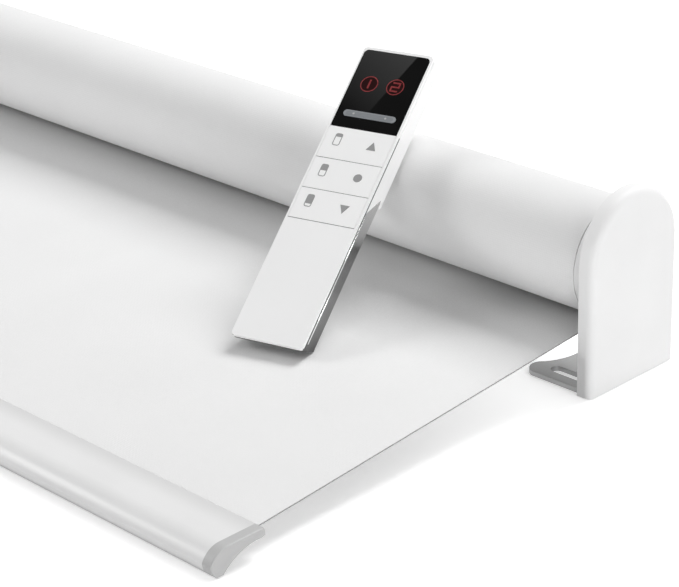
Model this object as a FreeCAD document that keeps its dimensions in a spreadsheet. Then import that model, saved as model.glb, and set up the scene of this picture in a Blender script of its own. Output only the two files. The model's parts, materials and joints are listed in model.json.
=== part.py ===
import FreeCAD, Part
import math
import os
import Sketcher

# Motorized roller blind, lengths in millimetres, angles in degrees.
# X runs along the roller, +X is the idler end. The fabric is drawn out towards -Y.
# Z = 0 is the face that the bracket feet are screwed to.

App = FreeCAD
Vector = App.Vector

os.makedirs("parts", exist_ok=True)
doc = App.newDocument("RollerBlind")
sheet = doc.addObject("Spreadsheet::Sheet", "Sizes")

# Main sizes
OVERALL_WIDTH = 610
NOSE_REACH = 227.5
COVER_DEPTH = 55
COVER_HEIGHT = 84
AXIS_HEIGHT = 51
ROLL_RADIUS = 25.5
REMOTE_WIDTH = 34
REMOTE_LENGTH = 148
REMOTE_THICK = 9.4

# Whole turns of fabric left on the roller, and teeth of the planetary stage
wound_turns = 6
SUN_TEETH = 12
PLANET_TEETH = 18
RING_TEETH = 48

# Finger grooves on the battery door
grip_lines = 5


class Size:
    """A length or angle together with the expression that gives it."""

    def __init__(self, value, text):
        self.value = float(value)
        self.text = text

    def __add__(self, other):
        other = as_size(other)
        return Size(self.value + other.value, "(%s + %s)" % (self.text, other.text))

    def __radd__(self, other):
        return as_size(other) + self

    def __sub__(self, other):
        other = as_size(other)
        return Size(self.value - other.value, "(%s - %s)" % (self.text, other.text))

    def __rsub__(self, other):
        return as_size(other) - self

    def __mul__(self, other):
        other = as_size(other)
        return Size(self.value * other.value, "(%s * %s)" % (self.text, other.text))

    def __rmul__(self, other):
        return as_size(other) * self

    def __truediv__(self, other):
        other = as_size(other)
        return Size(self.value / other.value, "(%s / %s)" % (self.text, other.text))

    def __neg__(self):
        return Size(-self.value, "(-1 * %s)" % self.text)


def as_size(number):
    if isinstance(number, Size):
        return number
    return Size(number, "%.6g" % number)


def size_root(number):
    return Size(math.sqrt(number.value), "sqrt(%s)" % number.text)


def size_sin(angle):
    return Size(math.sin(math.radians(angle.value)), "sin(%s)" % angle.text)


def size_cos(angle):
    return Size(math.cos(math.radians(angle.value)), "cos(%s)" % angle.text)


def size_tan(angle):
    return Size(math.tan(math.radians(angle.value)), "tan(%s)" % angle.text)


def size_asin(ratio):
    return Size(math.degrees(math.asin(ratio.value)), "(asin(%s) / 1deg)" % ratio.text)


def size_atan(ratio):
    return Size(math.degrees(math.atan(ratio.value)), "(atan(%s) / 1deg)" % ratio.text)


ROW = [0]


def add_row(name, text):
    ROW[0] += 1
    sheet.set("A%d" % ROW[0], name)
    sheet.set("B%d" % ROW[0], text)
    sheet.setAlias("B%d" % ROW[0], name)


def driving(name, value):
    """A size that is typed in."""
    add_row(name, "%.6g" % value)
    return Size(value, "Sizes." + name)


def tied(name, size):
    """A size that follows from others."""
    add_row(name, "=" + size.text.replace("Sizes.", ""))
    return Size(size.value, "Sizes." + name)


def bind(obj, prop, size):
    """Set a property and tie it to its expression."""
    obj.setExpression(prop, as_size(size).text)


def place(obj, spot, turn=(0, 0, 0)):
    """Tie a placement to a position and to yaw, pitch and roll."""
    spot_text = "; ".join(as_size(value).text for value in spot)
    turn_text = "; ".join(as_size(value).text for value in turn)
    obj.setExpression("Placement", "placement(vector(%s); rotation(%s))" % (spot_text, turn_text))


# Sketch helpers

def pin(sketch, geo, vertex, x, y):
    """Hold a sketch vertex at a position measured from the sketch origin."""
    for kind, size in (("DistanceX", as_size(x)), ("DistanceY", as_size(y))):
        index = sketch.addConstraint(Sketcher.Constraint(kind, -1, 1, geo, vertex, size.value))
        bind(sketch, "Constraints[%d]" % index, size)


def circle(sketch, x, y, radius):
    x, y, radius = as_size(x), as_size(y), as_size(radius)
    centre = Vector(x.value, y.value, 0)
    geo = sketch.addGeometry(Part.Circle(centre, Vector(0, 0, 1), radius.value))
    pin(sketch, geo, 3, x, y)
    index = sketch.addConstraint(Sketcher.Constraint("Radius", geo, radius.value))
    bind(sketch, "Constraints[%d]" % index, radius)


def around(x, y, turns_left):
    """An arc given by its centre and the sense in which it is travelled."""
    return ("centre", as_size(x), as_size(y), turns_left)


def bow(radius, centre_left):
    """An arc given by its radius, its centre left or right of the chord."""
    return ("radius", as_size(radius), centre_left)


def outline(sketch, points, arcs=None):
    """A closed outline; arcs maps a point's index to the arc that follows it."""
    arcs = arcs or {}
    points = [(as_size(x), as_size(y)) for x, y in points]
    sides = []
    for i, (x, y) in enumerate(points):
        x2, y2 = points[(i + 1) % len(points)]
        start = Vector(x.value, y.value, 0)
        end = Vector(x2.value, y2.value, 0)
        if i not in arcs:
            geo = sketch.addGeometry(Part.LineSegment(start, end))
            sides.append((geo, 1, 2))
            continue
        arc = arcs[i]
        if arc[0] == "centre":
            centre = Vector(arc[1].value, arc[2].value, 0)
            left = arc[3]
        else:
            chord = end - start
            left = arc[2]
            reach = math.sqrt(max(arc[1].value ** 2 - (chord.Length / 2) ** 2, 0))
            normal = Vector(-chord.y, chord.x, 0).normalize()
            centre = (start + end) * 0.5 + normal * (reach if left else -reach)
        radius = (start - centre).Length
        angle_start = math.atan2(start.y - centre.y, start.x - centre.x)
        angle_end = math.atan2(end.y - centre.y, end.x - centre.x)
        full = Part.Circle(centre, Vector(0, 0, 1), radius)
        if left:
            geo = sketch.addGeometry(Part.ArcOfCircle(full, angle_start, angle_end))
            sides.append((geo, 1, 2))
        else:
            geo = sketch.addGeometry(Part.ArcOfCircle(full, angle_end, angle_start))
            sides.append((geo, 2, 1))
    for i, (geo, first, last) in enumerate(sides):
        next_geo, next_first, _ = sides[(i + 1) % len(sides)]
        sketch.addConstraint(Sketcher.Constraint("Coincident", geo, last, next_geo, next_first))
    for i, (geo, first, last) in enumerate(sides):
        pin(sketch, geo, first, *points[i])
    for i, arc in arcs.items():
        geo = sides[i][0]
        if arc[0] == "radius":
            index = sketch.addConstraint(Sketcher.Constraint("Radius", geo, arc[1].value))
            bind(sketch, "Constraints[%d]" % index, arc[1])
            continue
        x, y = points[i]
        x2, y2 = points[(i + 1) % len(points)]
        flat_chord = abs(x2.value - x.value) > abs(y2.value - y.value)
        kind, size = ("DistanceY", arc[2]) if flat_chord else ("DistanceX", arc[1])
        index = sketch.addConstraint(Sketcher.Constraint(kind, -1, 1, geo, 3, size.value))
        bind(sketch, "Constraints[%d]" % index, size)


def rectangle(sketch, x0, x1, y0, y1):
    outline(sketch, [(x0, y0), (x1, y0), (x1, y1), (x0, y1)])


def slot(sketch, x0, x1, y0, y1):
    """A rectangle whose shorter sides are half circles."""
    x0, x1, y0, y1 = as_size(x0), as_size(x1), as_size(y0), as_size(y1)
    if x1.value - x0.value > y1.value - y0.value:
        radius = (y1 - y0) / 2
        middle = (y0 + y1) / 2
        points = [(x0 + radius, y0), (x1 - radius, y0), (x1 - radius, y1), (x0 + radius, y1)]
        outline(sketch, points, {1: around(x1 - radius, middle, True),
                                 3: around(x0 + radius, middle, True)})
        return
    radius = (x1 - x0) / 2
    middle = (x0 + x1) / 2
    points = [(x0, y0 + radius), (x1, y0 + radius), (x1, y1 - radius), (x0, y1 - radius)]
    outline(sketch, points, {0: around(middle, y0 + radius, True),
                             2: around(middle, y1 - radius, True)})


def round_rectangle(sketch, x0, x1, y0, y1, radius):
    x0, x1, y0, y1, r = as_size(x0), as_size(x1), as_size(y0), as_size(y1), as_size(radius)
    points = [(x0 + r, y0), (x1 - r, y0), (x1, y0 + r), (x1, y1 - r),
              (x1 - r, y1), (x0 + r, y1), (x0, y1 - r), (x0, y0 + r)]
    outline(sketch, points, {1: bow(r, True), 3: bow(r, True), 5: bow(r, True), 7: bow(r, True)})


PIECES = []


class Piece:
    """A body whose features are sketched on its own origin planes."""

    def __init__(self, name, spot=(0, 0, 0), turn=(0, 0, 0), like=None):
        self.body = doc.addObject("PartDesign::Body", name)
        self.body.Label = name
        if like is None:
            place(self.body, spot, turn)
        else:
            self.body.setExpression("Placement", like.body.Name + ".Placement")
        self.count = 0
        PIECES.append(self.body)

    def sketch(self, plane, offset=0):
        """A sketch on the XY, XZ or YZ plane, moved along X, Y or Z by the offset."""
        self.count += 1
        name = "%s_outline_%d" % (self.body.Name, self.count)
        sketch = self.body.newObject("Sketcher::SketchObject", name)
        for feature in self.body.Origin.OriginFeatures:
            if feature.Role == plane + "_Plane":
                sketch.AttachmentSupport = [(feature, "")]
        sketch.MapMode = "FlatFace"
        sign = -1 if plane == "XZ" else 1
        bind(sketch, "AttachmentOffset.Base.z", as_size(offset) * sign)
        return sketch

    def grow(self, sketch, length, plane_sign=1):
        """Add material; plane_sign 1 goes along the plane's own axis, -1 against it."""
        self.count += 1
        pad = self.body.newObject("PartDesign::Pad", "%s_pad_%d" % (self.body.Name, self.count))
        pad.Profile = sketch
        bind(pad, "Length", length)
        pad.Reversed = self.against(sketch, plane_sign)
        self.settle(pad)
        return pad

    def cut(self, sketch, length, plane_sign=1):
        """Remove material in the same sense as grow."""
        self.count += 1
        name = "%s_pocket_%d" % (self.body.Name, self.count)
        before = self.body.Shape.Volume
        pocket = self.body.newObject("PartDesign::Pocket", name)
        pocket.Profile = sketch
        bind(pocket, "Length", length)
        pocket.Reversed = not self.against(sketch, plane_sign)
        self.settle(pocket)
        if self.body.Shape.Volume > before - 1e-6:
            raise RuntimeError(name + " removes nothing")
        return pocket

    def against(self, sketch, plane_sign):
        """True where the wanted sense is against the sketch normal."""
        normal_sign = -1 if "XZ" in sketch.AttachmentSupport[0][0].Role else 1
        return normal_sign * plane_sign < 0

    def settle(self, feature):
        self.body.Tip = feature
        doc.recompute()

    def soften(self, radius, wanted, kind="Fillet"):
        """Round or bevel the edges that the test picks."""
        self.count += 1
        base = self.body.Tip
        names = []
        for index, edge in enumerate(base.Shape.Edges):
            if wanted(edge):
                names.append("Edge%d" % (index + 1))
        if not names:
            raise RuntimeError(self.body.Name + " has no edge to soften")
        feature = self.body.newObject("PartDesign::" + kind,
                                      "%s_%s_%d" % (self.body.Name, kind, self.count))
        feature.Base = (base, names)
        bind(feature, "Radius" if kind == "Fillet" else "Size", radius)
        self.settle(feature)

    def repeat(self, feature, axis_sketch, count):
        """Repeat a feature around the X axis."""
        self.count += 1
        pattern = self.body.newObject("PartDesign::PolarPattern",
                                      "%s_pattern_%d" % (self.body.Name, self.count))
        pattern.Originals = [feature]
        pattern.Axis = (axis_sketch, ["N_Axis"])
        pattern.Angle = 360
        pattern.Occurrences = count
        self.settle(pattern)


def edge_at(axis, value, tolerance=0.01):
    """Test for edges that lie wholly at one coordinate."""
    low, high = axis + "Min", axis + "Max"

    def wanted(edge):
        box = edge.BoundBox
        return abs(getattr(box, low) - value) < tolerance and abs(getattr(box, high) - value) < tolerance
    return wanted


# Overall sizes
overall_width = driving("overall_width", OVERALL_WIDTH)
cover_depth = driving("cover_depth", COVER_DEPTH)
cover_height = driving("cover_height", COVER_HEIGHT)
cover_thick = driving("cover_thick", 7)
cover_wall = driving("cover_wall", 1.6)
axis_height = driving("axis_height", AXIS_HEIGHT)
roll_radius = driving("roll_radius", ROLL_RADIUS)
nose_reach = driving("nose_reach", NOSE_REACH)
idler_gap = driving("idler_gap", 12.5)
motor_gap = driving("motor_gap", 22)
half_width = tied("half_width", overall_width / 2)
cover_half = tied("cover_half", cover_depth / 2)
axis_y = tied("axis_y", (nose_reach - cover_half) / 2)
fabric_right = tied("fabric_right", half_width - idler_gap)
fabric_left = tied("fabric_left", motor_gap - half_width)
fabric_width = tied("fabric_width", fabric_right - fabric_left)

# Sizes: brackets
sheet_thick = driving("sheet_thick", 2.2)
plate_inset = driving("plate_inset", 6)
cover_play = driving("cover_play", 0.4)
foot_reach = driving("foot_reach", 37.6)
ear_reach = driving("ear_reach", 34.8)
ear_side_reach = driving("ear_side_reach", 33)
ear_tip_y = driving("ear_tip_y", 19.8)
ear_root_y = driving("ear_root_y", 14.7)
ear_radius = driving("ear_radius", 6.5)
scallop_radius = driving("scallop_radius", 24.9)
slot_y = driving("slot_y", 17.2)
slot_width = driving("slot_width", 5.5)
slot_start = driving("slot_start", 10)
slot_end = driving("slot_end", 28.8)
bend_radius = driving("bend_radius", 1)
bend_outer = driving("bend_outer", 2.1)
bush_hole_radius = driving("bush_hole_radius", 6)
boss_half = driving("boss_half", 6)
boss_play = driving("boss_play", 0.1)
plate_inner = tied("plate_inner", half_width - plate_inset)
plate_outer = tied("plate_outer", plate_inner + sheet_thick)
plate_half = tied("plate_half", cover_half - cover_wall - cover_play)
arch_height = tied("arch_height", cover_height - cover_half)

# Sizes: covers
cover_round = driving("cover_round", 3.2)
snap_depth = driving("snap_depth", 0.9)
snap_thick = driving("snap_thick", 0.8)
snap_low = driving("snap_low", 18)
snap_high = driving("snap_high", 32)
rib_y = driving("rib_y", 14)
rib_thick = driving("rib_thick", 1.2)
rib_low = driving("rib_low", 8)
rib_high = driving("rib_high", 34)
rib_play = driving("rib_play", 0.1)
cover_inner = tied("cover_inner", half_width - cover_thick)
skin_inner = tied("skin_inner", half_width - cover_wall)

# Sizes: idler end
bush_flange_radius = driving("bush_flange_radius", 9)
bush_flange_thick = driving("bush_flange_thick", 1.5)
bush_lip_radius = driving("bush_lip_radius", 6.8)
bush_lip_thick = driving("bush_lip_thick", 1.6)
bush_floor = driving("bush_floor", 0.9)
pin_radius = driving("pin_radius", 3)
pin_play = driving("pin_play", 0.15)
press_play = driving("press_play", 0.05)
tube_radius = driving("tube_radius", 19)
tube_wall = driving("tube_wall", 1.2)
tube_rib_high = driving("tube_rib_high", 1.6)
tube_rib_half = driving("tube_rib_half", 1)
plug_play = driving("plug_play", 0.2)
key_half = driving("key_half", 4)
key_inner = driving("key_inner", 15.2)
tube_bore = tied("tube_bore", tube_radius - tube_wall)
plug_radius = tied("plug_radius", tube_bore - plug_play)
bush_blind = tied("bush_blind", plate_outer + bush_lip_thick - bush_floor)
flange_radius = driving("flange_radius", 24.75)
flange_start = driving("flange_start", 0.3)
flange_thick = driving("flange_thick", 4.2)
flange_round = driving("flange_round", 0.6)
plug_length = driving("plug_length", 28.5)
plug_end_wall = driving("plug_end_wall", 4)
plug_front_wall = driving("plug_front_wall", 1.8)
plug_rim = driving("plug_rim", 2.6)
plug_hub_radius = driving("plug_hub_radius", 7.4)
plug_bore_radius = driving("plug_bore_radius", 5.6)
web_thick = driving("web_thick", 1.6)
plug_face = tied("plug_face", fabric_right + flange_start)
plug_tail = tied("plug_tail", fabric_right - plug_length)
plug_floor = tied("plug_floor", plug_tail + plug_end_wall)
plug_wall = tied("plug_wall", fabric_right - plug_front_wall)
pin_hole = tied("pin_hole", pin_radius + pin_play * 2)
flange_outer = tied("flange_outer", plug_face + flange_thick)
pin_tail = driving("pin_tail", 2)
pin_tip_play = driving("pin_tip_play", 0.3)
pin_bevel = driving("pin_bevel", 0.45)
collar_radius = driving("collar_radius", 5.2)
collar_thick = driving("collar_thick", 3)
collar_play = driving("collar_play", 0.5)
pin_start = tied("pin_start", plug_tail + pin_tail)
collar_end = tied("collar_end", plug_wall - collar_play)
collar_start = tied("collar_start", collar_end - collar_thick)
spring_radius = driving("spring_radius", 4.3)
spring_wire = driving("spring_wire", 0.4)
spring_pitch = driving("spring_pitch", 2.35)
spring_seat = driving("spring_seat", 0.1)
spring_start = tied("spring_start", plug_floor + spring_seat + spring_wire)
spring_length = tied("spring_length", collar_start - spring_seat - spring_wire - spring_start)

# Sizes: roller tube with ribs and a fabric channel
channel_throat = driving("channel_throat", 1.2)
channel_half = driving("channel_half", 2.5)
channel_low = driving("channel_low", 16.2)
channel_high = driving("channel_high", 17.9)
wall_sink = driving("wall_sink", 0.4)
spline_play = driving("spline_play", 0.15)

# Sizes: fabric
fabric_thick = driving("fabric_thick", 0.5)
wound_start = driving("wound_start", 0.3)
sheet_play = driving("sheet_play", 0.3)
slot_height = driving("slot_height", 9.3)
bar_depth = driving("bar_depth", 27)
tail_y = tied("tail_y", nose_reach - bar_depth)
sheet_tuck = driving("sheet_tuck", 3.6)
wound_radius = tied("wound_radius", roll_radius - fabric_thick / 2)
wound_first = tied("wound_first", tube_radius + wound_start + fabric_thick / 2)
wound_pitch = tied("wound_pitch", (wound_radius - wound_first) / wound_turns)
slot_drop = tied("slot_drop", axis_height - slot_height)
slot_distance = tied("slot_distance", size_root(tail_y * tail_y + slot_drop * slot_drop))
fabric_slope = tied("fabric_slope", size_atan(slot_drop / tail_y)
                    - size_asin(wound_radius / slot_distance))
sheet_length = tied("sheet_length", size_root(slot_distance * slot_distance
                                              - wound_radius * wound_radius) + sheet_tuck)

# Sizes: bottom bar
bar_top = driving("bar_top", 11)
bar_top_in = driving("bar_top_in", 8.5)
bar_top_y = tied("bar_top_y", nose_reach - bar_top_in)
bar_nose_z = driving("bar_nose_z", 5.5)
bar_top_radius = driving("bar_top_radius", 9.3)
bar_nose_radius = driving("bar_nose_radius", 8)
bar_foot_in = driving("bar_foot_in", 2.9)
bar_foot_y = tied("bar_foot_y", nose_reach - bar_foot_in)
bar_heel_in = driving("bar_heel_in", 6.1)
bar_heel_y = tied("bar_heel_y", nose_reach - bar_heel_in)
bar_under_radius = driving("bar_under_radius", 24)
bar_tail_low = driving("bar_tail_low", 7.2)
bar_tail_low_in = driving("bar_tail_low_in", 24)
bar_tail_low_y = tied("bar_tail_low_y", nose_reach - bar_tail_low_in)
bar_tail_mid = driving("bar_tail_mid", 8.3)
bar_tail_round = driving("bar_tail_round", 1.2)
bar_tail_bow = driving("bar_tail_bow", 3)
bar_wall = driving("bar_wall", 1.2)
bar_back_in = driving("bar_back_in", 12)
bar_back_y = tied("bar_back_y", nose_reach - bar_back_in)
bar_chamber_front_in = driving("bar_chamber_front_in", 16.5)
bar_chamber_front = tied("bar_chamber_front", nose_reach - bar_chamber_front_in)
bar_chamber_back_in = driving("bar_chamber_back_in", 21.1)
bar_chamber_back = tied("bar_chamber_back", nose_reach - bar_chamber_back_in)
bar_chamber_low = driving("bar_chamber_low", 7.7)
bar_chamber_high = driving("bar_chamber_high", 9.9)
bar_slot_half = driving("bar_slot_half", 0.55)
cap_thick = driving("cap_thick", 4.8)
cap_round = driving("cap_round", 0.7)
cap_plug_length = driving("cap_plug_length", 9)
cap_play = driving("cap_play", 0.15)

# Sizes: motor head
head_radius = driving("head_radius", 22)
head_play = driving("head_play", 1)
head_cavity_radius = driving("head_cavity_radius", 11)
head_cavity_depth = driving("head_cavity_depth", 9)
boss_reach = driving("boss_reach", 4)
clip_thick = driving("clip_thick", 0.9)
clip_groove = driving("clip_groove", 1.4)
facet_y = driving("facet_y", 20.6)
facet_half = driving("facet_half", 8)
facet_edge = driving("facet_edge", 1.2)
port_half_long = driving("port_half_long", 4.6)
port_half_short = driving("port_half_short", 1.7)
port_depth = driving("port_depth", 7)
button_radius = driving("button_radius", 1.5)
button_z = driving("button_z", 6.4)
button_play = driving("button_play", 0.15)
button_depth = driving("button_depth", 4.2)
button_proud = driving("button_proud", 0.4)
button_round = driving("button_round", 0.3)
lamp_radius = driving("lamp_radius", 0.7)
lamp_depth = driving("lamp_depth", 2)
motor_tube_radius = driving("motor_tube_radius", 14.5)
motor_tube_wall = driving("motor_tube_wall", 1)
fit_play = driving("fit_play", 0.1)
crown_play = driving("crown_play", 0.6)
crown_flange_thick = driving("crown_flange_thick", 1.7)
crown_length = driving("crown_length", 15)
crown_bore_play = driving("crown_bore_play", 0.2)
motor_tube_bore = tied("motor_tube_bore", motor_tube_radius - motor_tube_wall)
inner_fit = tied("inner_fit", motor_tube_bore - fit_play)
head_outer = tied("head_outer", -plate_inner + head_play)
head_inner = tied("head_inner", fabric_left - crown_flange_thick - crown_play)
head_thick = tied("head_thick", head_inner - head_outer)
head_middle = tied("head_middle", (head_inner + head_outer) / 2)
port_shell = driving("port_shell", 0.35)
port_fit = driving("port_fit", 0.05)
port_tongue_half = driving("port_tongue_half", 0.35)
port_tongue_long = driving("port_tongue_long", 3.3)
port_tongue_length = driving("port_tongue_length", 5)
clip_leg = driving("clip_leg", 2.6)
clip_half_height = driving("clip_half_height", 9)

# Sizes: motor tube with its cells
gear_wall = driving("gear_wall", 1.5)
motor_tube_length = driving("motor_tube_length", 273.3)
tube_end_x = tied("tube_end_x", head_inner + motor_tube_length)
bearing_length = driving("bearing_length", 15)
bearing_flange = driving("bearing_flange", 1.5)
gear_length = driving("gear_length", 11.5)
motor_length = driving("motor_length", 44)
motor_radius = driving("motor_radius", 12)
nose_radius = driving("nose_radius", 5)
shaft_radius = driving("shaft_radius", 1)
shaft_sink = driving("shaft_sink", 20)
cell_radius = driving("cell_radius", 9.2)
cell_length = driving("cell_length", 65)
cell_nub = driving("cell_nub", 1.2)
cell_nub_radius = driving("cell_nub_radius", 3)
cell_round = driving("cell_round", 0.6)
end_space = driving("end_space", 3)
board_space = driving("board_space", 6)
terminal_length = driving("terminal_length", 3)
terminal_y = driving("terminal_y", 7)
terminal_half = driving("terminal_half", 0.4)
terminal_high = driving("terminal_high", 1.5)
cradle_play = driving("cradle_play", 0.2)
cradle_top = driving("cradle_top", 1)
board_thick = driving("board_thick", 1.6)
board_half = driving("board_half", 12)
board_length = driving("board_length", 42)
chip_start = driving("chip_start", 4)
chip_step = driving("chip_step", 13)
chip_long = driving("chip_long", 9)
chip_half = driving("chip_half", 6)
bearing_start = tied("bearing_start", tube_end_x - bearing_length)
gear_start = tied("gear_start", bearing_start - gear_length - gear_wall)
motor_start = tied("motor_start", gear_start - motor_length)
cell_start = tied("cell_start", head_inner + head_cavity_depth + end_space)
cell_step = tied("cell_step", cell_length + cell_nub)
board_start = tied("board_start", motor_start - board_length - board_space)
gear_module = driving("gear_module", 0.5)
tooth_rise = driving("tooth_rise", 0.45)
tooth_fall = driving("tooth_fall", 0.62)
tooth_root_half = driving("tooth_root_half", 0.4)
tooth_pitch_half = driving("tooth_pitch_half", 0.29)
tooth_tip_half = driving("tooth_tip_half", 0.13)
space_pitch_half = driving("space_pitch_half", 0.42)
space_root_half = driving("space_root_half", 0.25)
space_tip_half = driving("space_tip_half", 0.62)
gear_side = driving("gear_side", 0.6)
planet_bore = driving("planet_bore", 1.35)
axle_radius = driving("axle_radius", 1.25)
carrier_thick = driving("carrier_thick", 2.2)
carrier_radius = driving("carrier_radius", 10.6)
output_radius = driving("output_radius", 4)
output_play = driving("output_play", 0.1)
output_flat = driving("output_flat", 3)
gear_bed = tied("gear_bed", gear_start + gear_wall)
tooth_start = tied("tooth_start", gear_bed + gear_side)
tooth_width = tied("tooth_width", gear_length - carrier_thick - gear_side * 4)
planet_orbit = tied("planet_orbit", gear_module * (SUN_TEETH + PLANET_TEETH) / 2)
carrier_start = tied("carrier_start", tooth_start + tooth_width + gear_side)
output_reach = driving("output_reach", 19.6)
drive_gap = driving("drive_gap", 2.5)
output_end = tied("output_end", tube_end_x + output_reach)
drive_start = tied("drive_start", tube_end_x + drive_gap)
drive_length = driving("drive_length", 16)
drive_rim = driving("drive_rim", 4)
drive_hub_radius = driving("drive_hub_radius", 7)
clip_ring_radius = driving("clip_ring_radius", 5.4)
clip_seat_radius = driving("clip_seat_radius", 3.4)
clip_ring_thick = driving("clip_ring_thick", 0.6)
clip_mouth_half = driving("clip_mouth_half", 2.4)

# Sizes: hand control
rc_width = driving("rc_width", REMOTE_WIDTH)
rc_length = driving("rc_length", REMOTE_LENGTH)
rc_thick = driving("rc_thick", REMOTE_THICK)
rc_hump = driving("rc_hump", 8)
rc_toe = driving("rc_toe", 4.4)
rc_yaw = driving("rc_yaw", 15.6)
rc_from_end = driving("rc_from_end", 105)
rc_from_axis = driving("rc_from_axis", 101.6)
rc_play = driving("rc_play", 0.35)
rc_half = tied("rc_half", rc_width / 2)
rc_foot_lift = tied("rc_foot_lift", rc_half * size_sin(rc_yaw) * size_tan(fabric_slope) + rc_play)
rc_foot_z = tied("rc_foot_z", axis_height - (roll_radius - fabric_thick) / size_cos(fabric_slope)
                 - rc_from_axis * size_tan(fabric_slope) + rc_foot_lift)
rc_edge_y = tied("rc_edge_y", rc_from_axis - rc_half * size_sin(rc_yaw))
rc_edge_drop = tied("rc_edge_drop", axis_height - rc_foot_z)
rc_edge_reach = tied("rc_edge_reach", size_root(rc_edge_y * rc_edge_y + rc_edge_drop * rc_edge_drop))
rc_slant = tied("rc_slant", size_atan(rc_edge_drop / rc_edge_y)
                + size_asin((roll_radius + rc_hump + rc_play) / rc_edge_reach))
rc_lean = tied("rc_lean", size_atan(size_tan(rc_slant) * size_cos(rc_yaw)))
rc_wall = driving("rc_wall", 1.4)
rc_corner = driving("rc_corner", 2)
rc_plate = driving("rc_plate", 1.4)
rc_groove = driving("rc_groove", 0.8)
rc_neck_inset = driving("rc_neck_inset", 0.35)
rc_neck_corner = driving("rc_neck_corner", 1.4)
rc_side_rail = driving("rc_side_rail", 0.9)
rc_ledge = driving("rc_ledge", 0.25)
rc_skirt_thick = driving("rc_skirt_thick", 0.7)
rc_top_rail = driving("rc_top_rail", 1.4)
rc_row_play = driving("rc_row_play", 0.15)
rc_glass_corner = driving("rc_glass_corner", 1.2)
rc_window_drop = driving("rc_window_drop", 42)
rc_window_low = tied("rc_window_low", rc_length - rc_window_drop)
rc_row_1_drop = driving("rc_row_1_drop", 58.2)
rc_row_1 = tied("rc_row_1", rc_length - rc_row_1_drop)
rc_row_2_drop = driving("rc_row_2_drop", 73.9)
rc_row_2 = tied("rc_row_2", rc_length - rc_row_2_drop)
rc_row_3_drop = driving("rc_row_3_drop", 89.3)
rc_row_3 = tied("rc_row_3", rc_length - rc_row_3_drop)
trim_thick = driving("trim_thick", 1)
trim_over = driving("trim_over", 9.2)
trim_slant = driving("trim_slant", 12)
trim_front = tied("trim_front", rc_row_3 + trim_over)
trim_back = tied("trim_back", trim_front + trim_slant)
hump_half = driving("hump_half", 13.6)
hump_drop = driving("hump_drop", 8.5)
hump_long = driving("hump_long", 61)
hump_high = tied("hump_high", rc_length - hump_drop)
hump_low = tied("hump_low", hump_high - hump_long)
hump_wall = driving("hump_wall", 1.3)
door_thick = driving("door_thick", 1.1)
door_flange = driving("door_flange", 0.5)
door_lead = driving("door_lead", 2)
door_play = driving("door_play", 0.1)
grip_start = driving("grip_start", 4)
grip_step = driving("grip_step", 2)
grip_half = driving("grip_half", 5)
grip_depth = driving("grip_depth", 0.3)
rc_inner = tied("rc_inner", rc_wall + trim_thick)
rc_skirt = tied("rc_skirt", rc_inner + rc_row_play)
plate_low = tied("plate_low", rc_thick - rc_plate)
shell_top = tied("shell_top", plate_low - rc_groove)
window_half = tied("window_half", rc_half - rc_side_rail)
door_half = tied("door_half", hump_half - hump_wall)
rocker_drop = driving("rocker_drop", 34.7)
rocker_y = tied("rocker_y", rc_length - rocker_drop)
rocker_half = driving("rocker_half", 12.6)
rocker_thick = driving("rocker_thick", 3.2)
glass_half = tied("glass_half", window_half - rc_row_play)
rocker_proud = driving("rocker_proud", 0.2)
rocker_stem = driving("rocker_stem", 1)
rocker_stem_x = driving("rocker_stem_x", 8.5)
mat_top = driving("mat_top", 6.2)
key_stem = driving("key_stem", 1.5)
key_x = driving("key_x", 8)
board_low = driving("board_low", 3.9)
rc_board_thick = driving("rc_board_thick", 1.4)
rc_board_play = driving("rc_board_play", 0.7)
rc_board_half = tied("rc_board_half", rc_half - rc_inner - rc_board_play)
rc_board_start = driving("rc_board_start", 14)
rc_board_drop = driving("rc_board_drop", 5.5)
rc_board_end = tied("rc_board_end", rc_length - rc_board_drop)
rc_chip_half = driving("rc_chip_half", 5)
rc_chip_low = driving("rc_chip_low", 22)
rc_chip_high = driving("rc_chip_high", 32)
rc_coil_half = driving("rc_coil_half", 9)
rc_coil_low = driving("rc_coil_low", 40)
rc_coil_high = driving("rc_coil_high", 43)
rc_part_high = driving("rc_part_high", 1)
mat_inset = driving("mat_inset", 1)
mat_over = driving("mat_over", 9)
display_half = driving("display_half", 12)
display_low = driving("display_low", 11)
display_high = driving("display_high", 4)
mat_low = tied("mat_low", board_low + rc_board_thick)
aaa_radius = driving("aaa_radius", 5.2)
aaa_length = driving("aaa_length", 44.5)
aaa_x = driving("aaa_x", 5.5)
aaa_nub = driving("aaa_nub", 1)
aaa_nub_radius = driving("aaa_nub_radius", 1.9)
contact_half = driving("contact_half", 4)
contact_thick = driving("contact_thick", 0.4)
contact_tab_radius = driving("contact_tab_radius", 2.2)
aaa_start = tied("aaa_start", (hump_low + hump_high - aaa_length) / 2)
aaa_z = tied("aaa_z", door_thick + door_play + aaa_radius - rc_hump)
bay_low = tied("bay_low", hump_low + hump_wall)
bay_high = tied("bay_high", hump_high - hump_wall)
screw_head_radius = driving("screw_head_radius", 2)
screw_head_thick = driving("screw_head_thick", 0.8)
screw_low_y = driving("screw_low_y", 8)
screw_gap = driving("screw_gap", 5.5)
screw_high_y = tied("screw_high_y", hump_low - screw_gap)
screw_radius = driving("screw_radius", 1)

doc.recompute()


ON_AXIS = (0, axis_y, axis_height)
ON_FLOOR = (0, axis_y, 0)


# Brackets: one pressed sheet, an upright plate and a foot with two slots


def arch(sketch, half, centre_z, bottom):
    """Upright sides under a half circle."""
    points = [(-half, bottom), (half, bottom), (half, centre_z), (-half, centre_z)]
    outline(sketch, points, {2: around(0, centre_z, True)})


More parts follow.
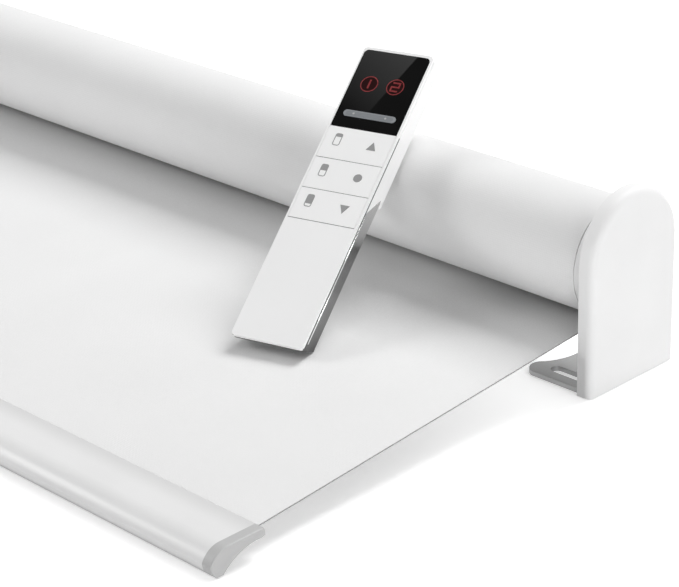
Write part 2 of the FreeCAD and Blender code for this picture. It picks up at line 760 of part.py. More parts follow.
def build_bracket(name, side, idler):
    piece = Piece(name, ON_FLOOR)
    plate = piece.sketch("YZ", side * plate_inner)
    arch(plate, plate_half, arch_height, 0)
    if idler:
        circle(plate, 0, axis_height, bush_hole_radius)
    else:
        reach = boss_half + boss_play
        rectangle(plate, -reach, reach, axis_height - reach, axis_height + reach)
    piece.grow(plate, sheet_thick, side)

    foot = piece.sketch("XY")
    wall_x = side * (plate_outer - sheet_thick / 2)
    corner = side * (half_width - ear_side_reach)
    tip = side * (half_width - foot_reach)
    root = side * (half_width - ear_reach)
    right = side > 0
    points = [(wall_x, plate_half), (corner, plate_half), (tip, ear_tip_y), (root, ear_root_y),
              (root, -ear_root_y), (tip, -ear_tip_y), (corner, -plate_half), (wall_x, -plate_half)]
    outline(foot, points, {1: bow(ear_radius, right), 2: bow(ear_radius, right),
                           3: bow(scallop_radius, not right),
                           4: bow(ear_radius, right), 5: bow(ear_radius, right)})
    piece.grow(foot, sheet_thick)

    slots = piece.sketch("XY")
    ends = sorted([side * (half_width - slot_start), side * (half_width - slot_end)],
                  key=lambda size: size.value)
    for y in (slot_y, -slot_y):
        slot(slots, ends[0], ends[1], y - slot_width / 2, y + slot_width / 2)
    piece.cut(slots, sheet_thick)

    inner_x = side * plate_inner.value
    outer_x = side * plate_outer.value

    def inner_bend(edge):
        box = edge.BoundBox
        level = abs(box.ZMin - sheet_thick.value) < 0.01 and abs(box.ZMax - sheet_thick.value) < 0.01
        return level and abs(box.XMin - inner_x) < 0.01 and abs(box.XMax - inner_x) < 0.01

    def outer_bend(edge):
        box = edge.BoundBox
        level = abs(box.ZMin) < 0.01 and abs(box.ZMax) < 0.01
        return level and abs(box.XMin - outer_x) < 0.01 and abs(box.XMax - outer_x) < 0.01
    piece.soften(bend_radius, inner_bend)
    piece.soften(bend_outer, outer_bend)
    return piece


build_bracket("idler_bracket", 1, True)
build_bracket("motor_bracket", -1, False)


# Covers: shells that snap over the brackets, open downwards and towards the roller


def build_cover(name, side):
    piece = Piece(name, ON_FLOOR)
    block = piece.sketch("YZ", side * cover_inner)
    arch(block, cover_half, arch_height, 0)
    piece.grow(block, cover_thick, side)
    hollow = piece.sketch("YZ", side * cover_inner)
    arch(hollow, cover_half - cover_wall, arch_height, -cover_wall)
    piece.cut(hollow, cover_thick - cover_wall, side)

    face_x = side * half_width.value

    def face_rim(edge):
        box = edge.BoundBox
        on_face = abs(box.XMin - face_x) < 0.01 and abs(box.XMax - face_x) < 0.01
        return on_face and box.ZMax > 0.1
    piece.soften(cover_round, face_rim)

    snaps = piece.sketch("YZ", side * cover_inner)
    wall = cover_half - cover_wall
    rectangle(snaps, wall - snap_depth, wall + cover_wall / 2, snap_low, snap_high)
    rectangle(snaps, -wall - cover_wall / 2, snap_depth - wall, snap_low, snap_high)
    piece.grow(snaps, snap_thick, side)

    ribs = piece.sketch("YZ", side * (plate_outer + rib_play))
    for y in (rib_y, -rib_y):
        rectangle(ribs, y - rib_thick / 2, y + rib_thick / 2, rib_low, rib_high)
    piece.grow(ribs, skin_inner - plate_outer - rib_play, side)
    return piece


build_cover("idler_cover", 1)
build_cover("motor_cover", -1)


# Idler end: bush in the bracket, plug in the tube, spring pin between them

bush = Piece("idler_bush", ON_AXIS)
flange = bush.sketch("YZ", plate_inner - bush_flange_thick)
circle(flange, 0, 0, bush_flange_radius)
bush.grow(flange, bush_flange_thick)
hub = bush.sketch("YZ", plate_inner)
circle(hub, 0, 0, bush_hole_radius - press_play)
bush.grow(hub, sheet_thick)
lip = bush.sketch("YZ", plate_outer)
circle(lip, 0, 0, bush_lip_radius)
bush.grow(lip, bush_lip_thick)
bore = bush.sketch("YZ", plate_inner - bush_flange_thick)
circle(bore, 0, 0, pin_radius + pin_play)
bush.cut(bore, bush_flange_thick + sheet_thick + bush_lip_thick - bush_floor)


def cut_keys(piece, start, length):
    """Grooves for the tube's three ribs and for its fabric channel."""
    grooves = piece.sketch("YZ", start)
    low = tube_bore - tube_rib_high - plug_play
    half = tube_rib_half + plug_play
    rectangle(grooves, low, tube_bore, -half, half)
    rectangle(grooves, -tube_bore, -low, -half, half)
    rectangle(grooves, -half, half, -tube_bore, -low)
    half = key_half + plug_play
    rectangle(grooves, -half, half, key_inner - plug_play, tube_bore)
    piece.cut(grooves, length)


def cross_webs(piece, start, length, inner, outer, thick):
    """Four webs between a hub and a rim."""
    webs = piece.sketch("YZ", start)
    half = thick / 2
    rectangle(webs, inner, outer, -half, half)
    rectangle(webs, -outer, -inner, -half, half)
    rectangle(webs, -half, half, inner, outer)
    rectangle(webs, -half, half, -outer, -inner)
    piece.grow(webs, length)

plug = Piece("idler_plug", ON_AXIS)
tail = plug.sketch("YZ", plug_tail)
circle(tail, 0, 0, plug_radius)
circle(tail, 0, 0, pin_hole)
plug.grow(tail, plug_end_wall)
rim = plug.sketch("YZ", plug_floor)
circle(rim, 0, 0, plug_radius)
circle(rim, 0, 0, plug_radius - plug_rim)
plug.grow(rim, plug_wall - plug_floor)
hub = plug.sketch("YZ", plug_floor)
circle(hub, 0, 0, plug_hub_radius)
circle(hub, 0, 0, plug_bore_radius)
plug.grow(hub, plug_wall - plug_floor)
cross_webs(plug, plug_floor, plug_wall - plug_floor, (plug_hub_radius + plug_bore_radius) / 2,
           plug_radius - plug_rim / 2, web_thick)
front = plug.sketch("YZ", plug_wall)
circle(front, 0, 0, plug_radius)
circle(front, 0, 0, pin_hole)
plug.grow(front, plug_face - plug_wall)
cut_keys(plug, plug_tail, fabric_right - plug_tail)
flange = plug.sketch("YZ", plug_face)
circle(flange, 0, 0, flange_radius)
circle(flange, 0, 0, pin_hole)
plug.grow(flange, flange_thick)


def flange_rim(edge):
    box = edge.BoundBox
    wide = box.YLength > 2 * flange_radius.value - 0.1
    return wide and box.XLength < 0.01 and box.XMin > plug_face.value - 0.01

plug.soften(flange_round, flange_rim)

idler_pin = Piece("idler_pin", ON_AXIS)
shaft = idler_pin.sketch("YZ", pin_start)
circle(shaft, 0, 0, pin_radius)
idler_pin.grow(shaft, bush_blind - pin_tip_play - pin_start)
collar = idler_pin.sketch("YZ", collar_start)
circle(collar, 0, 0, collar_radius)
idler_pin.grow(collar, collar_thick)
idler_pin.soften(pin_bevel, edge_at("X", (bush_blind - pin_tip_play).value), "Chamfer")

spring = Piece("idler_spring", ON_AXIS)
wire = spring.sketch("XZ")
circle(wire, spring_start, spring_radius, spring_wire)
coil = spring.body.newObject("PartDesign::AdditiveHelix", "idler_spring_coil")
coil.Profile = wire
coil.ReferenceAxis = (wire, ["H_Axis"])
coil.Mode = 0
bind(coil, "Pitch", spring_pitch)
bind(coil, "Height", spring_length)
spring.settle(coil)
print("Idler spring: least gap between coils %.3f mm" % (spring_pitch.value - 2 * spring_wire.value))


# Roller tube with ribs and a fabric channel

tube = Piece("roller_tube", ON_AXIS)
wall = tube.sketch("YZ", fabric_left)
circle(wall, 0, 0, tube_radius)
circle(wall, 0, 0, tube_bore)
tube.grow(wall, fabric_width)
ribs = tube.sketch("YZ", fabric_left)
rib_low_r = tube_bore - tube_rib_high
rib_top_r = tube_bore + wall_sink
rectangle(ribs, rib_low_r, rib_top_r, -tube_rib_half, tube_rib_half)
rectangle(ribs, -rib_top_r, -rib_low_r, -tube_rib_half, tube_rib_half)
rectangle(ribs, -tube_rib_half, tube_rib_half, -rib_top_r, -rib_low_r)
rectangle(ribs, -key_half, key_half, key_inner, rib_top_r)
tube.grow(ribs, fabric_width)
channel = tube.sketch("YZ", fabric_left)
points = [(-channel_half, channel_low), (channel_half, channel_low),
          (channel_half, channel_high), (channel_throat, channel_high),
          (channel_throat, tube_radius + wall_sink), (-channel_throat, tube_radius + wall_sink),
          (-channel_throat, channel_high), (-channel_half, channel_high)]
outline(channel, points)
tube.cut(channel, fabric_width)

spline = Piece("fabric_spline", ON_AXIS)
strip = spline.sketch("YZ", fabric_left)
rectangle(strip, spline_play - channel_half, channel_half - spline_play,
          channel_low + spline_play, channel_high - spline_play)
spline.grow(strip, fabric_width)


# Fabric: a spiral on the roller and a straight piece down to the bottom bar

FABRIC_TURN = (0, 0, fabric_slope)

# The spiral is made of half circles; those on the +Y side are centred on the axis and
# those on the -Y side half a pitch above it, so the gap between layers stays the same.
wound = Piece("fabric_roll", ON_AXIS, FABRIC_TURN)
spiral = wound.sketch("YZ", fabric_left)
points = []
arcs = {}
for layer in (fabric_thick / 2, -fabric_thick / 2):
    half_turns = list(range(2 * wound_turns))
    if layer.value < 0:
        half_turns.reverse()
    for step in half_turns:
        radius = wound_radius - wound_pitch * (step / 2) + layer
        shift = as_size(0) if step % 2 == 0 else wound_pitch / 2
        start_sign = -1 if step % 2 == 0 else 1
        if layer.value > 0:
            arcs[len(points)] = around(0, shift, True)
            points.append((0, shift + radius * start_sign))
            last = (0, shift - radius * start_sign)
        else:
            arcs[len(points)] = around(0, shift, False)
            points.append((0, shift - radius * start_sign))
            last = (0, shift + radius * start_sign)
    points.append(last)
outline(spiral, points, arcs)
wound.grow(spiral, fabric_width)
print("Fabric roll: least gap between layers %.3f mm" % (wound_pitch.value - fabric_thick.value))

drawn = Piece("fabric_sheet", ON_AXIS, FABRIC_TURN)
strip = drawn.sketch("YZ", fabric_left)
rectangle(strip, -sheet_length, -sheet_play, -roll_radius, fabric_thick - roll_radius)
drawn.grow(strip, fabric_width)


# Bottom bar: a hollow teardrop section, its round nose on the floor side


def bar_outline(sketch):
    points = [(-bar_tail_low_y, bar_tail_low), (-tail_y, bar_tail_mid),
              (-tail_y, bar_top - bar_tail_round), (-tail_y - bar_tail_round, bar_top),
              (-bar_top_y, bar_top), (-nose_reach, bar_nose_z),
              (-bar_foot_y, 0), (-bar_heel_y, 0)]
    outline(sketch, points, {0: bow(bar_tail_bow, True), 2: bow(bar_tail_round, True),
                             4: bow(bar_top_radius, True), 5: bow(bar_nose_radius, True),
                             7: bow(bar_under_radius, False)})


def bar_hollow(sketch, play):
    inset = bar_wall + play
    points = [(-bar_back_y - play, bar_top - inset), (-bar_top_y, bar_top - inset),
              (inset - nose_reach, bar_nose_z), (inset / 2 - bar_foot_y, inset),
              (-bar_heel_y, inset), (-bar_back_y - play, bar_nose_z)]
    outline(sketch, points, {1: bow(bar_top_radius - inset, True), 4: bow(bar_under_radius, False)})

bar = Piece("rail_profile", ON_FLOOR)
section = bar.sketch("YZ", fabric_left)
bar_outline(section)
bar.grow(section, fabric_width)
hollow = bar.sketch("YZ", fabric_left)
bar_hollow(hollow, as_size(0))
bar.cut(hollow, fabric_width)
keyhole = bar.sketch("YZ", fabric_left)
points = [(-bar_chamber_front, bar_chamber_low), (-bar_chamber_back, bar_chamber_low),
          (-bar_chamber_back, slot_height - bar_slot_half),
          (bar_wall - tail_y, slot_height - bar_slot_half),
          (bar_wall - tail_y, slot_height + bar_slot_half),
          (-bar_chamber_back, slot_height + bar_slot_half),
          (-bar_chamber_back, bar_chamber_high), (-bar_chamber_front, bar_chamber_high)]
outline(keyhole, points)
bar.cut(keyhole, fabric_width)

for name, side, start in (("rail_end_cap_right", 1, fabric_right),
                          ("rail_end_cap_left", -1, fabric_left)):
    cap = Piece(name, ON_FLOOR)
    face = cap.sketch("YZ", start)
    bar_outline(face)
    cap.grow(face, cap_thick, side)
    cap.soften(cap_round, edge_at("X", start.value + side * cap_thick.value))
    peg = cap.sketch("YZ", start)
    bar_hollow(peg, cap_play)
    cap.grow(peg, cap_plug_length, -side)

bar_spline = Piece("rail_spline", ON_FLOOR)
strip = bar_spline.sketch("YZ", fabric_left)
rectangle(strip, spline_play - bar_chamber_front, -bar_chamber_back - spline_play,
          bar_chamber_low + spline_play, slot_height - bar_slot_half)
bar_spline.grow(strip, fabric_width)


# Motor head, in the gap between the motor bracket and the fabric

head = Piece("motor_head", ON_AXIS)
disc = head.sketch("YZ", head_outer)
circle(disc, 0, 0, head_radius)
head.grow(disc, head_thick)
head.soften(flange_round, lambda edge: edge.BoundBox.XLength < 0.01)
cavity = head.sketch("YZ", head_inner)
circle(cavity, 0, 0, head_cavity_radius)
head.cut(cavity, head_cavity_depth, -1)
spigot = head.sketch("YZ", head_inner)
circle(spigot, 0, 0, inner_fit)
circle(spigot, 0, 0, head_cavity_radius)
head.grow(spigot, head_cavity_depth)
boss = head.sketch("YZ", head_outer)
rectangle(boss, -boss_half, boss_half, -boss_half, boss_half)
head.grow(boss, head_play + sheet_thick + clip_thick + bush_floor, -1)
clip_slots = head.sketch("YZ", -plate_outer)
for y in (boss_half, clip_groove - boss_half):
    rectangle(clip_slots, y - clip_groove, y, -boss_half, boss_half)
head.cut(clip_slots, clip_thick + button_play, -1)
facet = head.sketch("XZ", -facet_y)
rectangle(facet, head_outer + facet_edge, head_inner - facet_edge, -facet_half, facet_half)
head.cut(facet, head_radius - facet_y, -1)
port_hole = head.sketch("XZ", -facet_y)
slot(port_hole, head_middle - port_half_short, head_middle + port_half_short,
     -port_half_long, port_half_long)
head.cut(port_hole, port_depth)
button_hole = head.sketch("XZ", -facet_y)
circle(button_hole, head_middle, -button_z, button_radius + button_play)
head.cut(button_hole, button_depth + button_proud)
lamp_hole = head.sketch("XZ", -facet_y)
circle(lamp_hole, head_middle, button_z, lamp_radius + press_play)
head.cut(lamp_hole, lamp_depth)

port = Piece("charging_port", ON_AXIS)
shell = port.sketch("XZ", port_depth - facet_y)
slot(shell, head_middle - port_half_short + port_fit, head_middle + port_half_short - port_fit,
     port_fit - port_half_long, port_half_long - port_fit)
port.grow(shell, port_depth, -1)
mouth = port.sketch("XZ", -facet_y)
inset = port_fit + port_shell
slot(mouth, head_middle - port_half_short + inset, head_middle + port_half_short - inset,
     inset - port_half_long, port_half_long - inset)
port.cut(mouth, port_depth - port_shell * 2)
tongue = port.sketch("XZ", port_depth - facet_y - port_shell)
rectangle(tongue, head_middle - port_tongue_half, head_middle + port_tongue_half,
          -port_tongue_long, port_tongue_long)
port.grow(tongue, port_tongue_length, -1)

button = Piece("setting_button", ON_AXIS)
cap = button.sketch("XZ", -facet_y - button_proud)
circle(cap, head_middle, -button_z, button_radius)
button.grow(cap, button_depth)
button.soften(button_round, edge_at("Y", -(facet_y + button_proud).value))

lamp = Piece("status_lamp", ON_AXIS)
lens = lamp.sketch("XZ", -facet_y)
circle(lens, head_middle, button_z, lamp_radius)
lamp.grow(lens, lamp_depth)

clip = Piece("retaining_clip", ON_AXIS)
fork = clip.sketch("YZ", -plate_outer - port_fit)
inner = boss_half - clip_groove + press_play
outer = inner + clip_leg + clip_groove
points = [(-outer, -clip_half_height), (-inner, -clip_half_height), (-inner, boss_half + boss_play),
          (inner, boss_half + boss_play), (inner, -clip_half_height), (outer, -clip_half_height),
          (outer, clip_half_height), (-outer, clip_half_height)]
outline(fork, points)
clip.grow(fork, clip_thick, -1)


# Motor tube with its cells, board, motor and gears

sleeve = Piece("motor_tube", ON_AXIS)
wall = sleeve.sketch("YZ", head_inner)
circle(wall, 0, 0, motor_tube_radius)
circle(wall, 0, 0, motor_tube_bore)
sleeve.grow(wall, motor_tube_length)

crown = Piece("crown_ring", ON_AXIS)
ring = crown.sketch("YZ", fabric_left)
circle(ring, 0, 0, plug_radius)
circle(ring, 0, 0, motor_tube_radius + crown_bore_play)
crown.grow(ring, crown_length)
grooves = crown.sketch("YZ", fabric_left)
half = tube_rib_half + plug_play
for sign in (-1, 1):
    ends = sorted([sign * motor_tube_radius, sign * tube_bore], key=lambda size: size.value)
    rectangle(grooves, ends[0], ends[1], -half, half)
rectangle(grooves, -half, half, -tube_bore, -motor_tube_radius)
rectangle(grooves, -key_half - plug_play, key_half + plug_play, motor_tube_radius - fit_play, tube_bore)
crown.cut(grooves, crown_length)
flange = crown.sketch("YZ", fabric_left)
circle(flange, 0, 0, head_radius)
circle(flange, 0, 0, motor_tube_radius + crown_bore_play)
crown.grow(flange, crown_flange_thick, -1)

cradle = Piece("cell_cradle", ON_AXIS)
trough = cradle.sketch("YZ", cell_start)
inner_y = size_root(cell_radius * cell_radius - cradle_top * cradle_top) + cradle_play
outer_y = size_root(inner_fit * inner_fit - cradle_top * cradle_top)
points = [(-outer_y, -cradle_top), (outer_y, -cradle_top), (inner_y, -cradle_top),
          (-inner_y, -cradle_top)]
outline(trough, [points[0], points[3], points[2], points[1]],
        {1: bow(cell_radius + cradle_play, True), 3: bow(inner_fit, False)})
cradle.grow(trough, board_start + board_length - cell_start)
cells = []
for index in (0, 1):
    cell = Piece("battery_cell_%d" % (index + 1), ON_AXIS)
    can = cell.sketch("YZ", cell_start + cell_step * index)
    circle(can, 0, 0, cell_radius)
    cell.grow(can, cell_length)
    cell.soften(cell_round, lambda edge: edge.BoundBox.XLength < 0.01)
    nub = cell.sketch("YZ", cell_start + cell_step * index + cell_length)
    circle(nub, 0, 0, cell_nub_radius)
    cell.grow(nub, cell_nub)

board = Piece("control_board", ON_AXIS)
panel = board.sketch("XY", -cradle_top)
rectangle(panel, board_start, board_start + board_length, -board_half, board_half)
board.grow(panel, board_thick)
chips = board.sketch("XY", board_thick - cradle_top)
for index in range(3):
    chip_x = board_start + chip_start + chip_step * index
    rectangle(chips, chip_x, chip_x + chip_long, -chip_half, chip_half)
board.grow(chips, board_thick)

motor = Piece("dc_motor", ON_AXIS)
can = motor.sketch("YZ", motor_start)
circle(can, 0, 0, motor_radius)
motor.grow(can, motor_length)
motor.soften(gear_wall, edge_at("X", motor_start.value))
nose = motor.sketch("YZ", gear_start)
circle(nose, 0, 0, nose_radius)
motor.grow(nose, gear_wall)
shaft_hole = motor.sketch("YZ", gear_start + gear_wall)
circle(shaft_hole, 0, 0, shaft_radius + crown_bore_play)
motor.cut(shaft_hole, shaft_sink, -1)
terminals = motor.sketch("YZ", motor_start)
for y in (-terminal_y, terminal_y):
    rectangle(terminals, y - terminal_half, y + terminal_half, -terminal_high, terminal_high)
motor.grow(terminals, terminal_length, -1)

# Planetary stage: sun 12, three planets 18, ring 48 teeth, the ring held still


def toothed_wheel(piece, teeth, turn_half):
    """A root disc with teeth; turn_half turns the wheel by half a tooth."""
    pitch_radius = gear_module * teeth / 2
    root = pitch_radius - tooth_fall
    disc = piece.sketch("YZ", tooth_start)
    circle(disc, 0, 0, root)
    piece.grow(disc, tooth_width)
    tooth = piece.sketch("YZ", tooth_start)
    turned = [(root - tooth_fall / 2, -tooth_root_half), (root, -tooth_root_half),
              (pitch_radius, -tooth_pitch_half), (pitch_radius + tooth_rise, -tooth_tip_half),
              (pitch_radius + tooth_rise, tooth_tip_half), (pitch_radius, tooth_pitch_half),
              (root, tooth_root_half), (root - tooth_fall / 2, tooth_root_half)]
    if turn_half:
        angle = as_size(180.0 / teeth)
        turned = [(y * size_cos(angle) - z * size_sin(angle), y * size_sin(angle) + z * size_cos(angle))
                  for y, z in turned]
    outline(tooth, turned)
    feature = piece.grow(tooth, tooth_width)
    piece.repeat(feature, tooth, teeth)

sun = Piece("sun_pinion", ON_AXIS)
shaft = sun.sketch("YZ", gear_bed + gear_side - shaft_sink)
circle(shaft, 0, 0, shaft_radius)
sun.grow(shaft, shaft_sink + tooth_width)
toothed_wheel(sun, SUN_TEETH, False)

ring_gear = Piece("ring_gear", ON_AXIS)
end_wall = ring_gear.sketch("YZ", gear_start)
circle(end_wall, 0, 0, inner_fit)
circle(end_wall, 0, 0, nose_radius + press_play)
ring_gear.grow(end_wall, gear_wall)
barrel = ring_gear.sketch("YZ", gear_bed)
ring_pitch = gear_module * RING_TEETH / 2
circle(barrel, 0, 0, inner_fit)
circle(barrel, 0, 0, ring_pitch - tooth_rise)
ring_gear.grow(barrel, gear_length)
space = ring_gear.sketch("YZ", gear_bed)
angle = as_size(180.0 / RING_TEETH)
straight = [(ring_pitch - tooth_rise * 2, -space_tip_half), (ring_pitch - tooth_rise, -space_tip_half),
            (ring_pitch, -space_pitch_half), (ring_pitch + tooth_fall, -space_root_half),
            (ring_pitch + tooth_fall, space_root_half), (ring_pitch, space_pitch_half),
            (ring_pitch - tooth_rise, space_tip_half), (ring_pitch - tooth_rise * 2, space_tip_half)]
outline(space, [(y * size_cos(angle) - z * size_sin(angle), y * size_sin(angle) + z * size_cos(angle))
                for y, z in straight])
feature = ring_gear.cut(space, gear_length)
ring_gear.repeat(feature, space, RING_TEETH)

for index in range(3):
    station = 120.0 * index
    spot = (0, axis_y + planet_orbit * size_cos(as_size(station)),
            axis_height + planet_orbit * size_sin(as_size(station)))
    planet = Piece("planet_gear_%d" % (index + 1), spot, (0, 0, station))
    toothed_wheel(planet, PLANET_TEETH, True)
    hole = planet.sketch("YZ", tooth_start)
    circle(hole, 0, 0, planet_bore)
    planet.cut(hole, tooth_width)

carrier = Piece("planet_carrier", ON_AXIS)
disc = carrier.sketch("YZ", carrier_start)
circle(disc, 0, 0, carrier_radius)
carrier.grow(disc, carrier_thick)
for index in range(3):
    station = as_size(120.0 * index)
    axle = carrier.sketch("YZ", carrier_start)
    circle(axle, planet_orbit * size_cos(station), planet_orbit * size_sin(station), axle_radius)
    carrier.grow(axle, tooth_width + gear_side, -1)
shaft = carrier.sketch("YZ", carrier_start + carrier_thick)
circle(shaft, 0, 0, output_radius)
carrier.grow(shaft, output_end - carrier_start - carrier_thick)
flat = carrier.sketch("YZ", drive_start)
rectangle(flat, -output_radius, output_radius, output_flat, output_radius + output_play)
carrier.cut(flat, output_end - drive_start)
seat = carrier.sketch("YZ", drive_start + drive_length)
circle(seat, 0, 0, output_radius + output_play)
circle(seat, 0, 0, clip_seat_radius)
carrier.cut(seat, clip_ring_thick + output_play)

bearing = Piece("output_bearing", ON_AXIS)
barrel = bearing.sketch("YZ", bearing_start)
circle(barrel, 0, 0, inner_fit)
circle(barrel, 0, 0, output_radius + output_play)
bearing.grow(barrel, bearing_length)
flange = bearing.sketch("YZ", tube_end_x)
circle(flange, 0, 0, motor_tube_radius)
circle(flange, 0, 0, output_radius + output_play)
bearing.grow(flange, bearing_flange)

wheel = Piece("drive_wheel", ON_AXIS)
rim = wheel.sketch("YZ", drive_start)
circle(rim, 0, 0, plug_radius)
circle(rim, 0, 0, plug_radius - drive_rim)
wheel.grow(rim, drive_length)
hub = wheel.sketch("YZ", drive_start)
circle(hub, 0, 0, drive_hub_radius)
bore_radius = output_radius + output_play
flat_z = output_flat + output_play
flat_y = size_root(bore_radius * bore_radius - flat_z * flat_z)
outline(hub, [(flat_y, flat_z), (-flat_y, flat_z)], {1: around(0, 0, True)})
wheel.grow(hub, drive_length)
cross_webs(wheel, drive_start, drive_length, drive_hub_radius - web_thick / 2,
           plug_radius - drive_rim / 2, web_thick)
cut_keys(wheel, drive_start, drive_length)

circlip = Piece("drive_clip", ON_AXIS)
ring = circlip.sketch("YZ", drive_start + drive_length)
circle(ring, 0, 0, clip_ring_radius)
circle(ring, 0, 0, clip_seat_radius + press_play)
circlip.grow(ring, clip_ring_thick)
mouth = circlip.sketch("YZ", drive_start + drive_length)
rectangle(mouth, -clip_mouth_half, clip_mouth_half, 0, clip_ring_radius)
circlip.cut(mouth, clip_ring_thick)


# Hand control, leaning with its foot on the fabric and its back on the roll.
# Its own axes: x across, y up its length, z out of its face, origin below the foot edge of its face.
# Its toe is cut back by rc_toe towards the back, so it stands on the point y = rc_toe, z = 0.

rc_spot = (half_width - rc_from_end + rc_toe * size_sin(rc_yaw) * size_cos(rc_lean),
           axis_y - rc_from_axis - rc_toe * size_cos(rc_yaw) * size_cos(rc_lean),
           rc_foot_z - rc_toe * size_sin(rc_lean))
rc_turn = (rc_yaw, 0, rc_lean)

front = Piece("remote_front", rc_spot, rc_turn)
face = front.sketch("XY", plate_low)
round_rectangle(face, -rc_half, rc_half, 0, rc_length, rc_corner)
front.grow(face, rc_plate)
opening = front.sketch("XY", plate_low)
rectangle(opening, -window_half, window_half, rc_row_3, rc_length - rc_top_rail)
front.cut(opening, rc_plate)
# A recessed neck leaves the dark line, a ledge rests on the shell, a skirt drops into it
skirt_inner = rc_skirt + rc_skirt_thick
for level, thick, outer, inner, outer_toe, inner_toe in (
        (shell_top, rc_groove, rc_neck_inset, rc_side_rail, 0, 0),
        (shell_top, rc_ledge, rc_neck_inset, skirt_inner, 0, rc_toe),
        (shell_top - rc_groove, rc_groove, rc_skirt, skirt_inner, rc_toe, rc_toe)):
    ring = front.sketch("XY", level)
    round_rectangle(ring, outer - rc_half, rc_half - outer, outer + outer_toe, rc_length - outer,
                    rc_neck_corner)
    round_rectangle(ring, inner - rc_half, rc_half - inner, inner + inner_toe, rc_length - inner,
                    rc_corner / 2)
    front.grow(ring, thick)

back = Piece("remote_back", like=front)
block = back.sketch("XY")
round_rectangle(block, -rc_half, rc_half, 0, rc_length, rc_corner)
back.grow(block, shell_top)
hump = back.sketch("XY", -rc_hump)
round_rectangle(hump, -hump_half, hump_half, hump_low, hump_high, rc_corner)
back.grow(hump, rc_hump)
inside = back.sketch("XY", rc_wall)
round_rectangle(inside, rc_inner - rc_half, rc_half - rc_inner, rc_inner + rc_toe,
                rc_length - rc_inner, rc_corner / 2)
back.cut(inside, shell_top - rc_wall)
bay = back.sketch("XY", -rc_hump)
rectangle(bay, hump_wall - hump_half, hump_half - hump_wall, hump_low + hump_wall,
          hump_high - hump_wall)
back.cut(bay, rc_hump + rc_wall)
door_way = back.sketch("XY", -rc_hump)
rectangle(door_way, -door_half, door_half, hump_low - hump_wall, hump_high - hump_wall)
back.cut(door_way, door_thick + door_play)
door_grooves = back.sketch("XY", -rc_hump + door_thick / 2 - door_play)
reach = door_half + door_flange + door_play
rectangle(door_grooves, -reach, reach, hump_low - hump_wall, hump_high - hump_wall)
back.cut(door_grooves, door_thick / 2 + door_play * 2)

# The lower sides step in to carry the metal trim, whose upper ends are slanted
for side in (-1, 1):
    step = back.sketch("YZ", side * (rc_half - trim_thick))
    outline(step, [(-trim_thick, -trim_thick), (trim_back, -trim_thick), (trim_back, 0),
                   (trim_front, shell_top), (-trim_thick, shell_top)])
    back.cut(step, trim_thick * 2, side)
toe = back.sketch("YZ", -rc_half)
outline(toe, [(-trim_thick, 0), (rc_toe + trim_thick, 0), (trim_thick, shell_top),
              (-trim_thick, shell_top)])
back.cut(toe, rc_width)

trim = Piece("remote_trim", like=front)
band = trim.sketch("XY")
round_rectangle(band, -rc_half, rc_half, 0, trim_back, rc_corner)
trim.grow(band, shell_top)
toe = trim.sketch("YZ", -rc_half)
outline(toe, [(-trim_thick, 0), (rc_toe, 0), (0, shell_top), (-trim_thick, shell_top)])
trim.cut(toe, rc_width)
inset = trim_thick - press_play
core = trim.sketch("YZ", inset - rc_half)
outline(core, [(rc_toe + inset, 0), (trim_back + trim_thick, 0), (trim_back + trim_thick, shell_top),
               (inset, shell_top)])
trim.cut(core, (rc_half - inset) * 2)
slant = trim.sketch("YZ", -rc_half)
outline(slant, [(trim_back - press_play, 0), (trim_back + trim_thick, 0),
                (trim_back + trim_thick, shell_top + trim_thick),
                (trim_front - press_play, shell_top + trim_thick),
                (trim_front - press_play, shell_top)])
trim.cut(slant, rc_width)

window = Piece("display_window", like=front)
glass = window.sketch("XY", plate_low)
round_rectangle(glass, -glass_half, glass_half, rc_window_low + rc_row_play,
                rc_length - rc_top_rail - rc_row_play, rc_glass_corner)
slot(glass, -rocker_half - rc_row_play, rocker_half + rc_row_play,
     rocker_y - rocker_thick / 2 - rc_row_play, rocker_y + rocker_thick / 2 + rc_row_play)
window.grow(glass, rc_plate)

rocker = Piece("channel_rocker", like=front)
bar_sketch = rocker.sketch("XY", plate_low)
slot(bar_sketch, -rocker_half, rocker_half, rocker_y - rocker_thick / 2, rocker_y + rocker_thick / 2)
rocker.grow(bar_sketch, rc_plate + rocker_proud)
stems = rocker.sketch("XY", mat_top + rocker_stem)
for x in (-rocker_stem_x, rocker_stem_x):
    circle(stems, x, rocker_y, rocker_stem)
rocker.grow(stems, plate_low - mat_top - rocker_stem)

for name, low, high in (("key_row_up", rc_row_1, rc_window_low), ("key_row_stop", rc_row_2, rc_row_1),
                        ("key_row_down", rc_row_3, rc_row_2)):
    key = Piece(name, like=front)
    top = key.sketch("XY", plate_low)
    rectangle(top, -glass_half, glass_half, low + rc_row_play, high - rc_row_play)
    key.grow(top, rc_plate)
    stems = key.sketch("XY", mat_top + rocker_stem)
    for x in (-key_x, key_x):
        circle(stems, x, (low + high) / 2, key_stem)
    key.grow(stems, plate_low - mat_top - rocker_stem)

panel_board = Piece("remote_board", like=front)
panel = panel_board.sketch("XY", board_low)
rectangle(panel, -rc_board_half, rc_board_half, rc_board_start, rc_board_end)
panel_board.grow(panel, rc_board_thick)
parts_sketch = panel_board.sketch("XY", board_low + rc_board_thick)
rectangle(parts_sketch, -rc_chip_half, rc_chip_half, rc_chip_low, rc_chip_high)
rectangle(parts_sketch, -rc_coil_half, rc_coil_half, rc_coil_low, rc_coil_high)
panel_board.grow(parts_sketch, rc_part_high)

